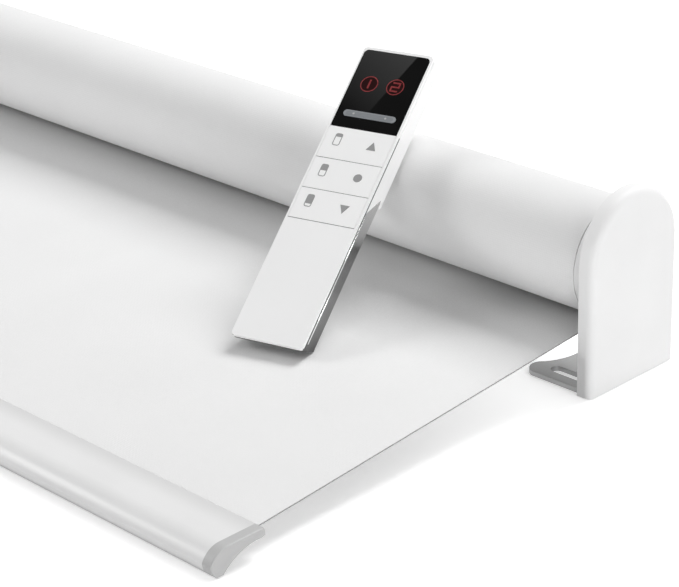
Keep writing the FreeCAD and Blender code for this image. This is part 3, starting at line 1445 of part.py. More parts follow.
mat = Piece("key_mat", like=front)
pad_sheet = mat.sketch("XY", mat_low)
rectangle(pad_sheet, mat_inset - rc_board_half, rc_board_half - mat_inset,
          rc_row_3 + mat_inset, rc_window_low + mat_over)
mat.grow(pad_sheet, mat_top - mat_low)
domes = mat.sketch("XY", mat_top)
for low, high in ((rc_row_1, rc_window_low), (rc_row_2, rc_row_1), (rc_row_3, rc_row_2)):
    for x in (-key_x, key_x):
        circle(domes, x, (low + high) / 2, key_stem * 2)
mat.grow(domes, rocker_stem / 2)

display = Piece("display_module", like=front)
block = display.sketch("XY", mat_low)
rectangle(block, -display_half, display_half, rc_window_low + display_low, rc_board_end - display_high)
display.grow(block, plate_low - mat_low - rc_row_play)

for index, x in ((1, -aaa_x), (2, aaa_x)):
    cell = Piece("remote_cell_%d" % index, like=front)
    can = cell.sketch("XZ", aaa_start)
    circle(can, x, aaa_z, aaa_radius)
    cell.grow(can, aaa_length - aaa_nub)
    nub = cell.sketch("XZ", aaa_start + aaa_length - aaa_nub)
    circle(nub, x, aaa_z, aaa_nub_radius)
    cell.grow(nub, aaa_nub)

for name, wall_y, sign, reach in (("cell_contact_low", bay_low, 1, aaa_start - bay_low),
                                  ("cell_contact_high", bay_high, -1,
                                   bay_high - aaa_start - aaa_length)):
    contact = Piece(name, like=front)
    plate = contact.sketch("XZ", wall_y)
    rectangle(plate, -aaa_x - contact_half, aaa_x + contact_half,
              aaa_z - contact_half, aaa_z + contact_half)
    contact.grow(plate, contact_thick, sign)
    for x in (-aaa_x, aaa_x):
        tab = contact.sketch("XZ", wall_y)
        circle(tab, x, aaa_z, contact_tab_radius)
        contact.grow(tab, reach, sign)

door = Piece("battery_door", like=front)
panel = door.sketch("XY", -rc_hump)
rectangle(panel, door_play - door_half, door_half - door_play,
          hump_low, hump_high - hump_wall - door_play)
door.grow(panel, door_thick)
flanges = door.sketch("XY", -rc_hump + door_thick / 2)
rectangle(flanges, -door_half - door_flange + door_play, door_half + door_flange - door_play,
          hump_low + door_lead, hump_high - hump_wall - door_play * 2)
door.grow(flanges, door_thick / 2 - door_play)
grips = door.sketch("XY", -rc_hump)
for index in range(grip_lines):
    low = hump_low + grip_start + grip_step * index
    rectangle(grips, -grip_half, grip_half, low, low + grip_step / 2)
door.cut(grips, grip_depth)

for index, y in ((1, screw_low_y), (2, screw_high_y)):
    hole = back.sketch("XY")
    circle(hole, 0, y, screw_head_radius + door_play)
    back.cut(hole, screw_head_thick)
    stem_hole = back.sketch("XY")
    circle(stem_hole, 0, y, screw_radius + door_play)
    back.cut(stem_hole, rc_wall)
    screw = Piece("remote_screw_%d" % index, like=front)
    cap = screw.sketch("XY")
    circle(cap, 0, y, screw_head_radius)
    screw.grow(cap, screw_head_thick)
    stem = screw.sketch("XY", screw_head_thick)
    circle(stem, 0, y, screw_radius)
    screw.grow(stem, board_low - screw_head_thick)


# Checks and export

doc.recompute()
for obj in doc.Objects:
    for word in ("Invalid", "Error"):
        if word in obj.State:
            raise RuntimeError("%s is %s" % (obj.Name, word))
for body in PIECES:
    if body.Shape.isNull() or not body.Shape.isValid():
        raise RuntimeError(body.Label + " has no valid shape")
    if len(body.Shape.Solids) != 1:
        print("%s has %d solids" % (body.Label, len(body.Shape.Solids)))
for body in PIECES:
    body.Shape.exportStep("parts/" + body.Label + ".step")
print("%d parts" % len(PIECES))
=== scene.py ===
import json
import math
import random

import bmesh
import bpy
from mathutils import Matrix, Vector


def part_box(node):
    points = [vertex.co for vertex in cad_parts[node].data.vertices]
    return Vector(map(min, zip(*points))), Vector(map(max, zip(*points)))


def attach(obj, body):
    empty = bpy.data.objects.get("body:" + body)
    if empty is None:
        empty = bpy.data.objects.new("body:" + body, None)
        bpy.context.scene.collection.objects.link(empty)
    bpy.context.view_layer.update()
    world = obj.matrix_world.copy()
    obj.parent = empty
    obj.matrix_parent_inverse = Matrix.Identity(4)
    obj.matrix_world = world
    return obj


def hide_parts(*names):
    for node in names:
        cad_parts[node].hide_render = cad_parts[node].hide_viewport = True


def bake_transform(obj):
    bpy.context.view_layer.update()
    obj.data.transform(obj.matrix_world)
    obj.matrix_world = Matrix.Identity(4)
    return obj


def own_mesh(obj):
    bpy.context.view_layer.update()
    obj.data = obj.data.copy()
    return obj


# Motorized roller blind. Metres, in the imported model's frame: X along the roller,
# the fabric drawn out towards -Y, Z = 0 on the face that the feet stand on.

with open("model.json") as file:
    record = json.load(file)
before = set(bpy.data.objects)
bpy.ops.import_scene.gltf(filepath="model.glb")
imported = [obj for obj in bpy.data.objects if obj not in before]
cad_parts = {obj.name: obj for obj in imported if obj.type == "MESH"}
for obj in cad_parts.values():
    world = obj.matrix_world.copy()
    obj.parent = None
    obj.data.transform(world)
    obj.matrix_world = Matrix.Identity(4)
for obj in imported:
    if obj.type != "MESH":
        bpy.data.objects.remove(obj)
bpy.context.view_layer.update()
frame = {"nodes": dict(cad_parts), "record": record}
nodes = frame["nodes"]
MM = 0.001
scene = bpy.context.scene


# Camera, at the photograph's viewing angle; angles in degrees

AZIMUTH, ELEVATION, ROLL = 45.646, 23.927, -1.551
CAMERA_SPOT = (0.8455, -0.5964, 0.4296)
LENS = 124.84


def set_camera():
    azimuth, elevation, roll = (math.radians(angle) for angle in (AZIMUTH, ELEVATION, ROLL))
    back = Vector((math.sin(azimuth) * math.cos(elevation), -math.cos(azimuth) * math.cos(elevation),
                   math.sin(elevation)))
    side = Vector((math.cos(azimuth), math.sin(azimuth), 0))
    up = back.cross(side)
    right = side * math.cos(roll) + up * math.sin(roll)
    top = up * math.cos(roll) - side * math.sin(roll)
    data = bpy.data.cameras.new("camera")
    data.lens = LENS
    data.sensor_width = 36
    data.sensor_fit = "HORIZONTAL"
    data.clip_start = 0.01
    data.clip_end = 20
    camera = bpy.data.objects.new("camera", data)
    scene.collection.objects.link(camera)
    turn = Matrix((right, top, back)).transposed().to_4x4()
    camera.matrix_world = Matrix.Translation(CAMERA_SPOT) @ turn
    scene.camera = camera


set_camera()
scene.view_settings.view_transform = "Standard"


# Node helpers

def add_node(tree, kind, inputs=(), **settings):
    """A new node; each input takes a number, a colour or another node's output."""
    node = tree.nodes.new("ShaderNode" + kind)
    for key, value in settings.items():
        setattr(node, key, value)
    for key, value in dict(inputs).items():
        if isinstance(value, bpy.types.NodeSocket):
            tree.links.new(value, node.inputs[key])
        else:
            node.inputs[key].default_value = value
    return node


def ramp(tree, value, start, end, low=0.0, high=1.0, kind="LINEAR"):
    """Runs from low to high while the given value runs from start to end."""
    inputs = {0: value, 1: start, 2: end, 3: low, 4: high}
    return add_node(tree, "MapRange", inputs, interpolation_type=kind).outputs[0]


# Materials

FINISHES = {}


class Finish:
    """A procedural material built up on one Principled shader, kept in FINISHES."""

    def __init__(self, name, **sockets):
        material = bpy.data.materials.new(name)
        material.use_nodes = True
        self.tree = material.node_tree
        self.shader = self.tree.nodes["Principled BSDF"]
        for socket, value in sockets.items():
            self.shader.inputs[socket.replace("_", " ")].default_value = value
        self.bump = None
        FINISHES[name] = material

    def node(self, kind, inputs=(), **settings):
        return add_node(self.tree, kind, inputs, **settings)

    def math(self, operation, a, b=0.0):
        return self.node("Math", {0: a, 1: b}, operation=operation).outputs[0]

    def place(self, stretch=(1, 1, 1)):
        """Object coordinates in metres, stretched along the axes."""
        coords = self.node("TexCoord").outputs["Object"]
        return self.node("Mapping", {"Vector": coords, "Scale": stretch}).outputs[0]

    def xyz(self):
        """The three object coordinates in metres."""
        return self.node("SeparateXYZ", {0: self.place()}).outputs

    def noise(self, size, stretch=(1, 1, 1), detail=3.0, roughness=0.5):
        """Noise with features of about the given size in metres."""
        inputs = {"Vector": self.place(stretch), "Scale": 1 / size, "Detail": detail, "Roughness": roughness}
        return self.node("TexNoise", inputs).outputs["Fac"]

    def span(self, noise, low=0.0, high=1.0):
        """The middle half of a noise, spread between two numbers."""
        return ramp(self.tree, noise, 0.25, 0.75, low, high)

    def blend(self, value, first, second):
        """From the first colour at 0 to the second at 1."""
        first, second = (c if isinstance(c, bpy.types.NodeSocket) else (*c, 1) for c in (first, second))
        return self.node("Mix", {0: value, 6: first, 7: second}, data_type="RGBA").outputs[2]

    def colour(self, socket):
        self.tree.links.new(socket, self.shader.inputs["Base Color"])

    def rough(self, socket):
        self.tree.links.new(socket, self.shader.inputs["Roughness"])

    def relief(self, height, strength, depth):
        """Bumps of the given depth in metres, on top of the ones already there."""
        inputs = {"Height": height, "Strength": strength, "Distance": depth}
        if self.bump is not None:
            inputs["Normal"] = self.bump
        self.bump = self.node("Bump", inputs).outputs[0]
        self.tree.links.new(self.bump, self.shader.inputs["Normal"])


def grey(value, warm=0.0):
    return (value * (1 + warm), value, value * (1 - warm))


def moulded(name, tone, roughness, warm=0.0, spread=0.02, grain=0.4 * MM):
    """Moulded plastic: fine spark-eroded grain, faint mottling and uneven gloss."""
    finish = Finish(name)
    cloud = finish.noise(0.03, detail=2.0)
    low, high = grey(tone * (1 - spread), warm), grey(min(tone * (1 + spread), 1), warm)
    finish.colour(finish.blend(finish.span(cloud), low, high))
    finish.rough(finish.span(finish.noise(0.012), roughness - 0.05, roughness + 0.05))
    finish.relief(finish.noise(grain, detail=2.0), 0.12, 0.00003)


def metal(name, colour, roughness, along):
    """Metal with fine drawn or brushed lines; along is small for the axes that they follow."""
    finish = Finish(name, Metallic=1.0)
    lines = finish.noise(0.0003, along, detail=3.0, roughness=0.7)
    dark = tuple(part * 0.9 for part in colour)
    finish.colour(finish.blend(finish.span(finish.noise(0.02)), dark, colour))
    finish.rough(finish.span(lines, roughness - 0.07, roughness + 0.09))
    finish.relief(lines, 0.1, 0.00002)


# The cloth's map is in millimetres. The nook's painted shade keeps to the cloth beside the roll,
# and fades between two places along the sheet.
THREAD_PITCH = 0.9
NOOK_SHADE_TONE = 0.66
NOOK_REACH = 60 * MM
NOOK_DARK, NOOK_CLEAR = 0.3, 0.8
NOOK_FADES, NOOK_ENDS = -55.0, -80.0


def cloth(name, nook_shade=False):
    """Plain weave, with painted shade between its threads; the drawn sheet also gets painted shade in the
    nook that it makes with the roll.
    """
    finish = Finish(name, Sheen_Weight=0.03, Sheen_Roughness=0.5, Specular_IOR_Level=0.12)
    place = finish.node("UVMap", uv_map="cloth").outputs[0]
    across, along = finish.node("SeparateXYZ", {0: place}).outputs[:2]
    warp = finish.math("SINE", finish.math("MULTIPLY", across, math.pi / THREAD_PITCH))
    weft = finish.math("SINE", finish.math("MULTIPLY", along, math.pi / THREAD_PITCH))
    over = finish.math("GREATER_THAN", finish.math("MULTIPLY", warp, weft), 0.0)
    under = finish.math("SUBTRACT", 1.0, over)
    warp_crown = finish.math("MULTIPLY", finish.math("ABSOLUTE", warp), over)
    weft_crown = finish.math("MULTIPLY", finish.math("ABSOLUTE", weft), under)
    weave = finish.math("ADD", warp_crown, weft_crown)
    slub = finish.node("TexNoise", {"Vector": place, "Scale": 0.7, "Detail": 2.0}).outputs["Fac"]
    # Painted shade: between the threads the weave takes a darker grey than on their crowns; each grey also
    # varies at random.
    crown = finish.blend(finish.span(finish.noise(0.05, detail=2.0)), grey(0.86), grey(0.9))
    hollow_shade = finish.blend(finish.span(slub), grey(0.81), grey(0.85))
    tone = finish.blend(weave, hollow_shade, crown)
    if nook_shade:
        # Painted shade: the sheet darkens where the roll hangs over it, as an ambient occlusion node finds,
        # and this fades out along the sheet.
        sky = finish.node("AmbientOcclusion", {"Distance": NOOK_REACH}, samples=8).outputs["AO"]
        clear = ramp(finish.tree, sky, NOOK_DARK, NOOK_CLEAR)
        away = ramp(finish.tree, along, NOOK_FADES, NOOK_ENDS)
        tone = finish.blend(finish.math("MAXIMUM", clear, away), grey(0.85 * NOOK_SHADE_TONE), tone)
    finish.colour(tone)
    finish.rough(finish.span(slub, 0.78, 0.92))
    finish.relief(weave, 0.35, 0.00008)


def edge_shade_cloth(name):
    """The sheet's sealed side edge, painted darker than its face as shade, with the threads' ends showing.
    """
    finish = Finish(name, Specular_IOR_Level=0.12)
    ends = finish.noise(0.0009, detail=1.0)
    finish.colour(finish.blend(finish.span(ends), grey(0.2), grey(0.32)))
    finish.rough(finish.span(ends, 0.75, 0.9))
    finish.relief(ends, 0.3, 0.00008)


def glass_black(name):
    """The display's window: black, nearly even, with hardly any shine of its own."""
    finish = Finish(name, Specular_IOR_Level=0.04)
    finish.colour(finish.blend(finish.span(finish.noise(0.02)), grey(0.002), grey(0.004)))
    finish.rough(finish.span(finish.noise(0.006), 0.004, 0.012))
    finish.relief(finish.noise(0.03, detail=1.0), 0.02, 0.00001)


def lit_red(name, strength):
    """Dim red segments behind the display window, uneven from end to end."""
    finish = Finish(name, Specular_IOR_Level=0.04)
    low = tuple(part * strength for part in (0.2, 0.03, 0.035))
    high = tuple(part * strength for part in (0.28, 0.055, 0.055))
    finish.colour(finish.blend(finish.span(finish.noise(0.001)), low, high))
    finish.rough(finish.span(finish.noise(0.0006), 0.4, 0.6))


def lacquer_with_painted_shade(name):
    """White lacquer on the extruded bar, with painted shade: greyer along the cloth's seam and at the foot
    of its front.
    """
    finish = Finish(name, Coat_Weight=0.35, Coat_Roughness=0.28)
    spot = finish.xyz()
    # Painted shade: grey along the seam where the cloth goes in, and a darker grey at the foot where the bar
    # meets the floor.
    seam = ramp(finish.tree, spot["Y"], -112 * MM, -100 * MM, kind="SMOOTHSTEP")
    foot = ramp(finish.tree, spot["Z"], 4.2 * MM, 0.6 * MM, kind="SMOOTHSTEP")
    white = finish.blend(finish.span(finish.noise(0.03, detail=2.0)), grey(0.79), grey(0.82))
    white = finish.blend(seam, white, grey(0.66))
    finish.colour(finish.blend(foot, white, grey(0.34)))
    finish.rough(finish.span(finish.noise(0.03, detail=1.0), 0.35, 0.4))
    finish.relief(finish.noise(0.0004, (0.02, 1, 1), detail=2.0), 0.08, 0.00002)


def polished_with_painted_reflection(name):
    """Bright trim with a painted reflection, darker towards its foot, with fine lines along its length."""
    finish = Finish(name, Metallic=1.0)
    # Painted reflection: the metal's colour is dark near the foot and light above, in place of what the trim
    # would mirror.
    rise = ramp(finish.tree, finish.xyz()["Z"], 20 * MM, 62 * MM)
    cloud = finish.span(finish.noise(0.01))
    dark = finish.blend(cloud, grey(0.11), grey(0.14))
    light = finish.blend(cloud, grey(0.72), grey(0.78))
    finish.colour(finish.blend(rise, dark, light))
    lines = finish.noise(0.0003, (1, 0.05, 0.05), detail=2.0)
    finish.rough(finish.span(lines, 0.12, 0.24))
    finish.relief(lines, 0.06, 0.00001)


moulded("white_plastic", 0.87, 0.55)
moulded("grey_plastic", 0.5, 0.4)
moulded("black_plastic", 0.03, 0.45)
moulded("lamp_lens", 0.25, 0.15, warm=-0.2)
moulded("cell_wrap", 0.18, 0.3, warm=-0.3)
moulded("board_green", 0.07, 0.4, warm=-0.5)
moulded("gear_nylon", 0.62, 0.5, warm=0.06)
moulded("remote_white", 0.94, 0.35, spread=0.01)
moulded("mat_rubber", 0.2, 0.7)
moulded("print_grey", 0.3, 0.6, grain=0.3 * MM)
moulded("rocker_grey", 0.25, 0.5, warm=-0.06, grain=0.3 * MM)
moulded("inlay_grey", 0.2, 0.5, warm=-0.06, grain=0.3 * MM)
moulded("mark_grey", 0.42, 0.5, grain=0.3 * MM)
metal("bracket_steel", grey(0.42), 0.42, along=(1, 0.05, 1))
metal("spring_steel", grey(0.6), 0.25, along=(0.05, 1, 1))
metal("gear_brass", (0.78, 0.57, 0.26), 0.28, along=(0.05, 1, 1))
metal("tube_aluminium", grey(0.78), 0.3, along=(0.02, 1, 1))
metal("bead_bright", grey(0.95), 0.2, along=(1, 0.05, 0.05))
cloth("blind_fabric")
cloth("drawn_cloth_nook_shade", nook_shade=True)
edge_shade_cloth("cloth_edge_shade")
lacquer_with_painted_shade("rail_white")
polished_with_painted_reflection("trim_silver")
glass_black("window_black")
lit_red("display_red", 1.0)
lit_red("display_dim", 0.07)


def dress(obj, finish):
    obj.data.materials.clear()
    obj.data.materials.append(FINISHES[finish])


for entry in frame["record"]["subparts"]:
    dress(nodes[entry["node"]], entry["material_slot"])
dress(nodes["channel_rocker"], "rocker_grey")


# Edges that the moulds and presses leave slightly round, by millimetres

SOFT_EDGES = {"remote_front": 0.25, "remote_back": 0.35, "remote_trim": 0.45,
              "idler_bracket": 0.25, "motor_bracket": 0.25}


def soften_edges(obj, width):
    weld = obj.modifiers.new("weld", "WELD")
    weld.merge_threshold = 0.002 * MM
    bevel = obj.modifiers.new("bevel", "BEVEL")
    bevel.width = width
    bevel.segments = 2
    bevel.limit_method = "ANGLE"
    bevel.angle_limit = math.radians(40)
    bevel.use_clamp_overlap = True
    smooth = obj.modifiers.new("normals", "WEIGHTED_NORMAL")
    smooth.keep_sharp = False


for name, width in SOFT_EDGES.items():
    soften_edges(nodes[name], width * MM)


# Mesh helpers

def to_mesh(name, shape):
    mesh = bpy.data.meshes.new(name)
    shape.to_mesh(mesh)
    shape.free()
    return mesh


def tube_mesh(name, rings):
    """A closed tube through rings of as many points each."""
    shape = bmesh.new()
    loops = [[shape.verts.new(point) for point in ring] for ring in rings]
    sides = len(loops[0])
    for near, far in zip(loops, loops[1:]):
        for k in range(sides):
            after = (k + 1) % sides
            face = shape.faces.new((near[k], near[after], far[after], far[k]))
            face.smooth = True
    for loop in (loops[0], loops[-1]):
        shape.faces.new(loop)
    bmesh.ops.recalc_face_normals(shape, faces=shape.faces)
    return to_mesh(name, shape)


def new_piece(name, mesh, finish, body):
    """A piece dressed in the given finish, which rides on a body when one is given."""
    obj = bpy.data.objects.new(name, mesh)
    scene.collection.objects.link(obj)
    dress(obj, finish)
    if body:
        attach(obj, body)
    return obj


def spread(low, high, count):
    return [low + (high - low) * i / count for i in range(count + 1)]


# Fabric: the roll as one wound strip, and the drawn sheet

AXIS = Vector((0, 100, 51)) * MM
SLOPE = math.radians(4.66648)
LAYER = 0.5 * MM
ROLL_RADIUS = 25.25 * MM
PITCH = 0.95 * MM
TURNS = 6
END_GAP = 0.27 * MM
fabric_low, fabric_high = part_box("fabric_roll")
LEFT, RIGHT = fabric_low.x, fabric_high.x


def slanted(x, y, z):
    """A point given in axes turned by the slope about the roller's axis."""
    return AXIS + Vector((x, y * math.cos(SLOPE) - z * math.sin(SLOPE),
                          y * math.sin(SLOPE) + z * math.cos(SLOPE)))


def strip_mesh(name, path, normals, runs, stations, wander):
    """A cloth strip of even thickness along a path, as wide as the stations.

    path and normals are (y, z) pairs in the slanted axes, runs the lengths along the cloth,
    and wander shifts the two ends of each row sideways."""
    shape = bmesh.new()
    uv = shape.loops.layers.uv.new("cloth")
    count = len(stations)
    ends = (0, count - 1)
    rows = []
    for (y, z), (ny, nz), shift in zip(path, normals, wander):
        row = []
        for offset in (LAYER / 2, -LAYER / 2):
            for k, x in enumerate(stations):
                x_here = x + shift if k in ends else x
                row.append(shape.verts.new(slanted(x_here, y + ny * offset, z + nz * offset)))
        rows.append(row)

    def quad(verts, marks):
        face = shape.faces.new(verts)
        face.smooth = True
        for loop, mark in zip(face.loops, marks):
            loop[uv].uv = mark

    for i, (a, b) in enumerate(zip(rows, rows[1:])):
        v0, v1 = runs[i] / MM, runs[i + 1] / MM
        for k in range(count - 1):
            u0, u1 = stations[k] / MM, stations[k + 1] / MM
            quad((a[k], a[k + 1], b[k + 1], b[k]), ((u0, v0), (u1, v0), (u1, v1), (u0, v1)))
            quad((a[count + k], b[count + k], b[count + k + 1], a[count + k + 1]),
                 ((u0, v0), (u0, v1), (u1, v1), (u1, v0)))
        for k in ends:
            quad((a[k], b[k], b[count + k], a[count + k]), [(stations[k] / MM, v0)] * 4)
    for row in (rows[0], rows[-1]):
        for k in range(count - 1):
            quad((row[k], row[k + 1], row[count + k + 1], row[count + k]), [(stations[k] / MM, 0)] * 4)
    bmesh.ops.recalc_face_normals(shape, faces=shape.faces)
    for edge in shape.edges:
        if len(edge.link_faces) == 2 and edge.calc_face_angle(0) > math.radians(50):
            edge.smooth = False
    return to_mesh(name, shape)


def wind_roll():
    """One spiral from the outside in, whose layers end slightly out of line, as wound cloth does."""
    steps = 72
    chance = random.Random(4)
    drift = [chance.uniform(-0.04, 0.02) * MM for _ in range(TURNS + 2)]
    path, normals, runs, wander = [], [], [], []
    run = 0.0
    for i in range(steps * TURNS + 1):
        turn = i / steps
        angle = turn * 2 * math.pi
        radius = ROLL_RADIUS - PITCH * turn
        point = (radius * math.sin(angle), -radius * math.cos(angle))
        if path:
            run += math.dist(point, path[-1])
        path.append(point)
        normals.append((math.sin(angle), -math.cos(angle)))
        runs.append(run)
        k = int(turn)
        ease = turn - k
        wander.append(drift[k] * (1 - ease) + drift[k + 1] * ease if turn > 0.5 else 0.0)
    stations = spread(LEFT - END_GAP, RIGHT + END_GAP, 12)
    mesh = strip_mesh("wound_fabric", path, normals, runs, stations, wander)
    roll = new_piece("wound_fabric", mesh, "blind_fabric", "roller")
    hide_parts("fabric_roll")
    return roll


def draw_sheet(roll):
    """The taut sheet between roll and rail: flat, so its only rows are where each end is held.

    Its narrow side faces show the cut edge, in a dark finish of painted shade."""
    runs = [run * MM for run in (-0.05, -2, -198, -206.8)]
    path = [(y, -ROLL_RADIUS) for y in runs]
    normals = [(0.0, -1.0)] * len(runs)
    still = [0.0] * len(runs)
    mesh = strip_mesh("drawn_fabric", path, normals, runs, spread(LEFT, RIGHT, 24), still)
    sheet = new_piece("drawn_fabric", mesh, "drawn_cloth_nook_shade", None)
    # Painted shade: the narrow side faces take the dark edge finish.
    mesh.materials.append(FINISHES["cloth_edge_shade"])
    for face in mesh.polygons:
        if abs(face.normal.x) > 0.9:
            face.material_index = 1
    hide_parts("fabric_sheet")
    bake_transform(sheet)


draw_sheet(wind_roll())


# Hand control: its axes start at its foot, u across it, v up its length, and n from its back
# to its face. What is drawn on it has its sizes in millimetres.

REMOTE_FOOT = Vector((200.9466, -4.9903, 15.7068)) * MM
REMOTE_YAW, REMOTE_LEAN = math.radians(15.6), math.radians(36.87027)
REMOTE = (Matrix.Translation(REMOTE_FOOT) @ Matrix.Rotation(REMOTE_YAW, 4, "Z")
          @ Matrix.Rotation(REMOTE_LEAN, 4, "X"))
REMOTE_LENGTH = 148
FACE_TOP = 9.4
WINDOW_LOW, ROW_1, ROW_2, ROW_3 = 106.0, 89.8, 74.1, 58.7
PRINT = 0.04


def on_remote(u, v, n):
    return REMOTE @ (Vector((u, v, n)) * MM)


def loop_band(outer, inner):
    """Cells between two closed loops of as many points."""
    count = len(outer)
    return [(outer[i], outer[(i + 1) % count], inner[(i + 1) % count], inner[i]) for i in range(count)]


def round_loop(cu, cv, radius, count=48):
    angles = [2 * math.pi * i / count for i in range(count)]
    return [(cu + radius * math.cos(angle), cv + radius * math.sin(angle)) for angle in angles]


def pill_loop(cu, cv, half_u, half_v, radius, count=6):
    """A rectangle with round corners, counted the same for any size."""
    loop = []
    for su, sv, start in ((1, 1, 0), (-1, 1, 1), (-1, -1, 2), (1, -1, 3)):
        for i in range(count + 1):
            angle = (start + i / count) * math.pi / 2
            loop.append((cu + su * (half_u - radius) + radius * math.cos(angle),
                         cv + sv * (half_v - radius) + radius * math.sin(angle)))
    return loop


def bar_loop(cu, low, high, half_u):
    return [(cu - half_u, low), (cu + half_u, low), (cu + half_u, high), (cu - half_u, high)]


def stroke(points, width):
    """Cells of an open line of even width with mitred corners."""
    sides = []
    for i, (u, v) in enumerate(points):
        before = Vector(points[max(i - 1, 0)])
        here = Vector((u, v))
        after = Vector(points[min(i + 1, len(points) - 1)])
        one = (here - before).normalized() if i else (after - here).normalized()
        two = (after - here).normalized() if i < len(points) - 1 else one
        tangent = (one + two).normalized()
        normal = Vector((-tangent.y, tangent.x))
        reach = width / 2 / max(normal.dot(Vector((-one.y, one.x))), 0.3)
        sides.append((tuple(here + normal * reach), tuple(here - normal * reach)))
    return [(near[0], near[1], far[1], far[0]) for near, far in zip(sides, sides[1:])]


def printed(name, cells, finish, body, level=FACE_TOP, thick=PRINT):
    """Ink, a lit mark or a strip of painted shade: flat cells at one level, raised by their thickness."""
    shape = bmesh.new()
    for cell in cells:
        shape.faces.new([shape.verts.new(on_remote(u, v, level)) for u, v in cell])
    bmesh.ops.remove_doubles(shape, verts=shape.verts, dist=0.004 * MM)
    raised = bmesh.ops.extrude_face_region(shape, geom=shape.faces[:])
    corners = [item for item in raised["geom"] if isinstance(item, bmesh.types.BMVert)]
    lift = on_remote(0, 0, thick) - on_remote(0, 0, 0)
    bmesh.ops.translate(shape, verts=corners, vec=lift)
    bmesh.ops.recalc_face_normals(shape, faces=shape.faces)
    return new_piece(name, to_mesh(name, shape), finish, body)


def bead(name, cu):
    """A bright half-round bead along the trim's front edge."""
    level, radius, low, high = 6.65, 0.42, 4.0, 66.0
    section = round_loop(cu, level, radius, 20)
    mesh = tube_mesh(name, [[on_remote(u, v, n) for u, n in section] for v in (low, high)])
    new_piece(name, mesh, "bead_bright", "remote")


def shade_side_gaps():
    """Dark strips of painted shade along both sides below the face plate, each with its bead."""
    low, half, level, thick = 0.8, 0.16, 7.22, 0.76
    for number, cu in ((1, -16.78), (2, 16.78)):
        # Painted shade: a black strip stands where the groove between face plate and trim is in shade.
        printed("side_gap_shade_%d" % number, [bar_loop(cu, low, WINDOW_LOW, half)], "black_plastic",
                "remote", level, thick)
        bead("trim_bead_%d" % number, cu)


def shade_row_gaps():
    """Dark strips of painted shade in the gaps below the key rows; the lowest one comes up to the face."""
    half_u, half_v, level = 15.9, 0.13, 8.2
    for number, cv, thick in ((1, ROW_1, 1.05), (2, ROW_2, 1.05), (3, ROW_3, 1.21)):
        # Painted shade: a black strip stands where the gap below each key row is in shade.
        printed("row_gap_shade_%d" % number, [bar_loop(0, cv - half_v, cv + half_v, half_u)], "black_plastic",
                "remote", level, thick)


def round_glass():
    """White masks that round the glass's two top corners."""
    half, top, radius, steps = 16.05, 146.55, 2.3, 8
    for number, side in ((1, -1), (2, 1)):
        angles = [math.pi / 2 * i / steps for i in range(steps + 1)]
        arc = [(side * (half - radius + radius * math.sin(angle)), top - radius + radius * math.cos(angle))
               for angle in angles]
        cells = [((side * half, top), near, far) for near, far in zip(arc, arc[1:])]
        printed("glass_corner_%d" % number, cells, "remote_white", "remote")


def fill_level(name, cv, body, share):
    """Outlined lozenge with its upper share filled: how far that key draws the blind."""
    cu, half_u, half_v, line = -9.6, 1.75, 3.1, 0.4
    outer = pill_loop(cu, cv, half_u, half_v, 1.0)
    inner = pill_loop(cu, cv, half_u - line, half_v - line, 0.6)
    printed(name + "_outline", loop_band(outer, inner), "print_grey", body)
    low, high = cv + half_v - 2 * half_v * share, cv + half_v
    filled = pill_loop(cu, (high + low) / 2, half_u - line / 2, (high - low) / 2 - line / 2, 0.5)
    printed(name + "_fill", [filled], "print_grey", body, thick=PRINT + 0.01)


def arrow(cu, cv, way):
    return ((cu - 2.3, cv - 1.7 * way), (cu + 2.3, cv - 1.7 * way), (cu, cv + 2.5 * way))


def print_keys():
    """On each row a lozenge at the left, and an arrow or a dot at the right."""
    for label, low, high, share in (("up", ROW_1, WINDOW_LOW, 0.32), ("stop", ROW_2, ROW_1, 0.55),
                                    ("down", ROW_3, ROW_2, 0.78)):
        body = "key_" + label
        middle = (low + high) / 2 + 1.2
        fill_level("level_mark_" + label, middle + 0.4, body, share)
        cu, cv = 7.4, middle - 0.6
        marks = {"up": arrow(cu, cv, 1), "stop": round_loop(cu, cv, 2.0), "down": arrow(cu, cv, -1)}
        printed("arrow_mark_" + label, [marks[label]], "print_grey", body)


def digit(number, cu, cv):
    """The points of a one or a two about its middle, and the width of its line."""
    if number == 1:
        return [(cu, cv - 2.3), (cu, cv + 2.3)], 0.85
    half_u, half_v = 1.7, 2.1
    return [(cu - half_u, cv + half_v), (cu + half_u, cv + half_v), (cu + half_u, cv), (cu - half_u, cv),
            (cu - half_u, cv - half_v), (cu + half_u, cv - half_v)], 0.75


def light_display():
    """Two red rings, each with a plain channel number on a faintly lit disc."""
    for number, cu, cv in ((1, -6.9, 129.2), (2, 5.6, 129.6)):
        ring = loop_band(round_loop(cu, cv, 4.1), round_loop(cu, cv, 3.65))
        printed("channel_ring_%d" % number, ring, "display_red", "remote")
        printed("channel_disc_%d" % number, [round_loop(cu, cv, 3.5)], "display_dim", "remote",
                thick=PRINT / 2)
        points, width = digit(number, cu, cv)
        printed("channel_digit_%d" % number, stroke(points, width), "display_red", "remote",
                thick=PRINT + 0.01)


def mark_rocker():
    """A dark inlay along the channel rocker, with a dot near each end."""
    cv = REMOTE_LENGTH - 34.7
    printed("rocker_inlay", [pill_loop(0, cv, 11.4, 1.05, 1.04)], "inlay_grey", "rocker",
            FACE_TOP + 0.2, 0.05)
    for number, cu in ((1, -7.7), (2, 7.7)):
        printed("rocker_mark_%d" % number, [round_loop(cu, cv, 0.5, 24)], "mark_grey", "rocker",
                FACE_TOP + 0.25, 0.06)


shade_side_gaps()
shade_row_gaps()
round_glass()
print_keys()
light_display()
mark_rocker()


# The pin's spring, drawn as a coil that rides on the pin

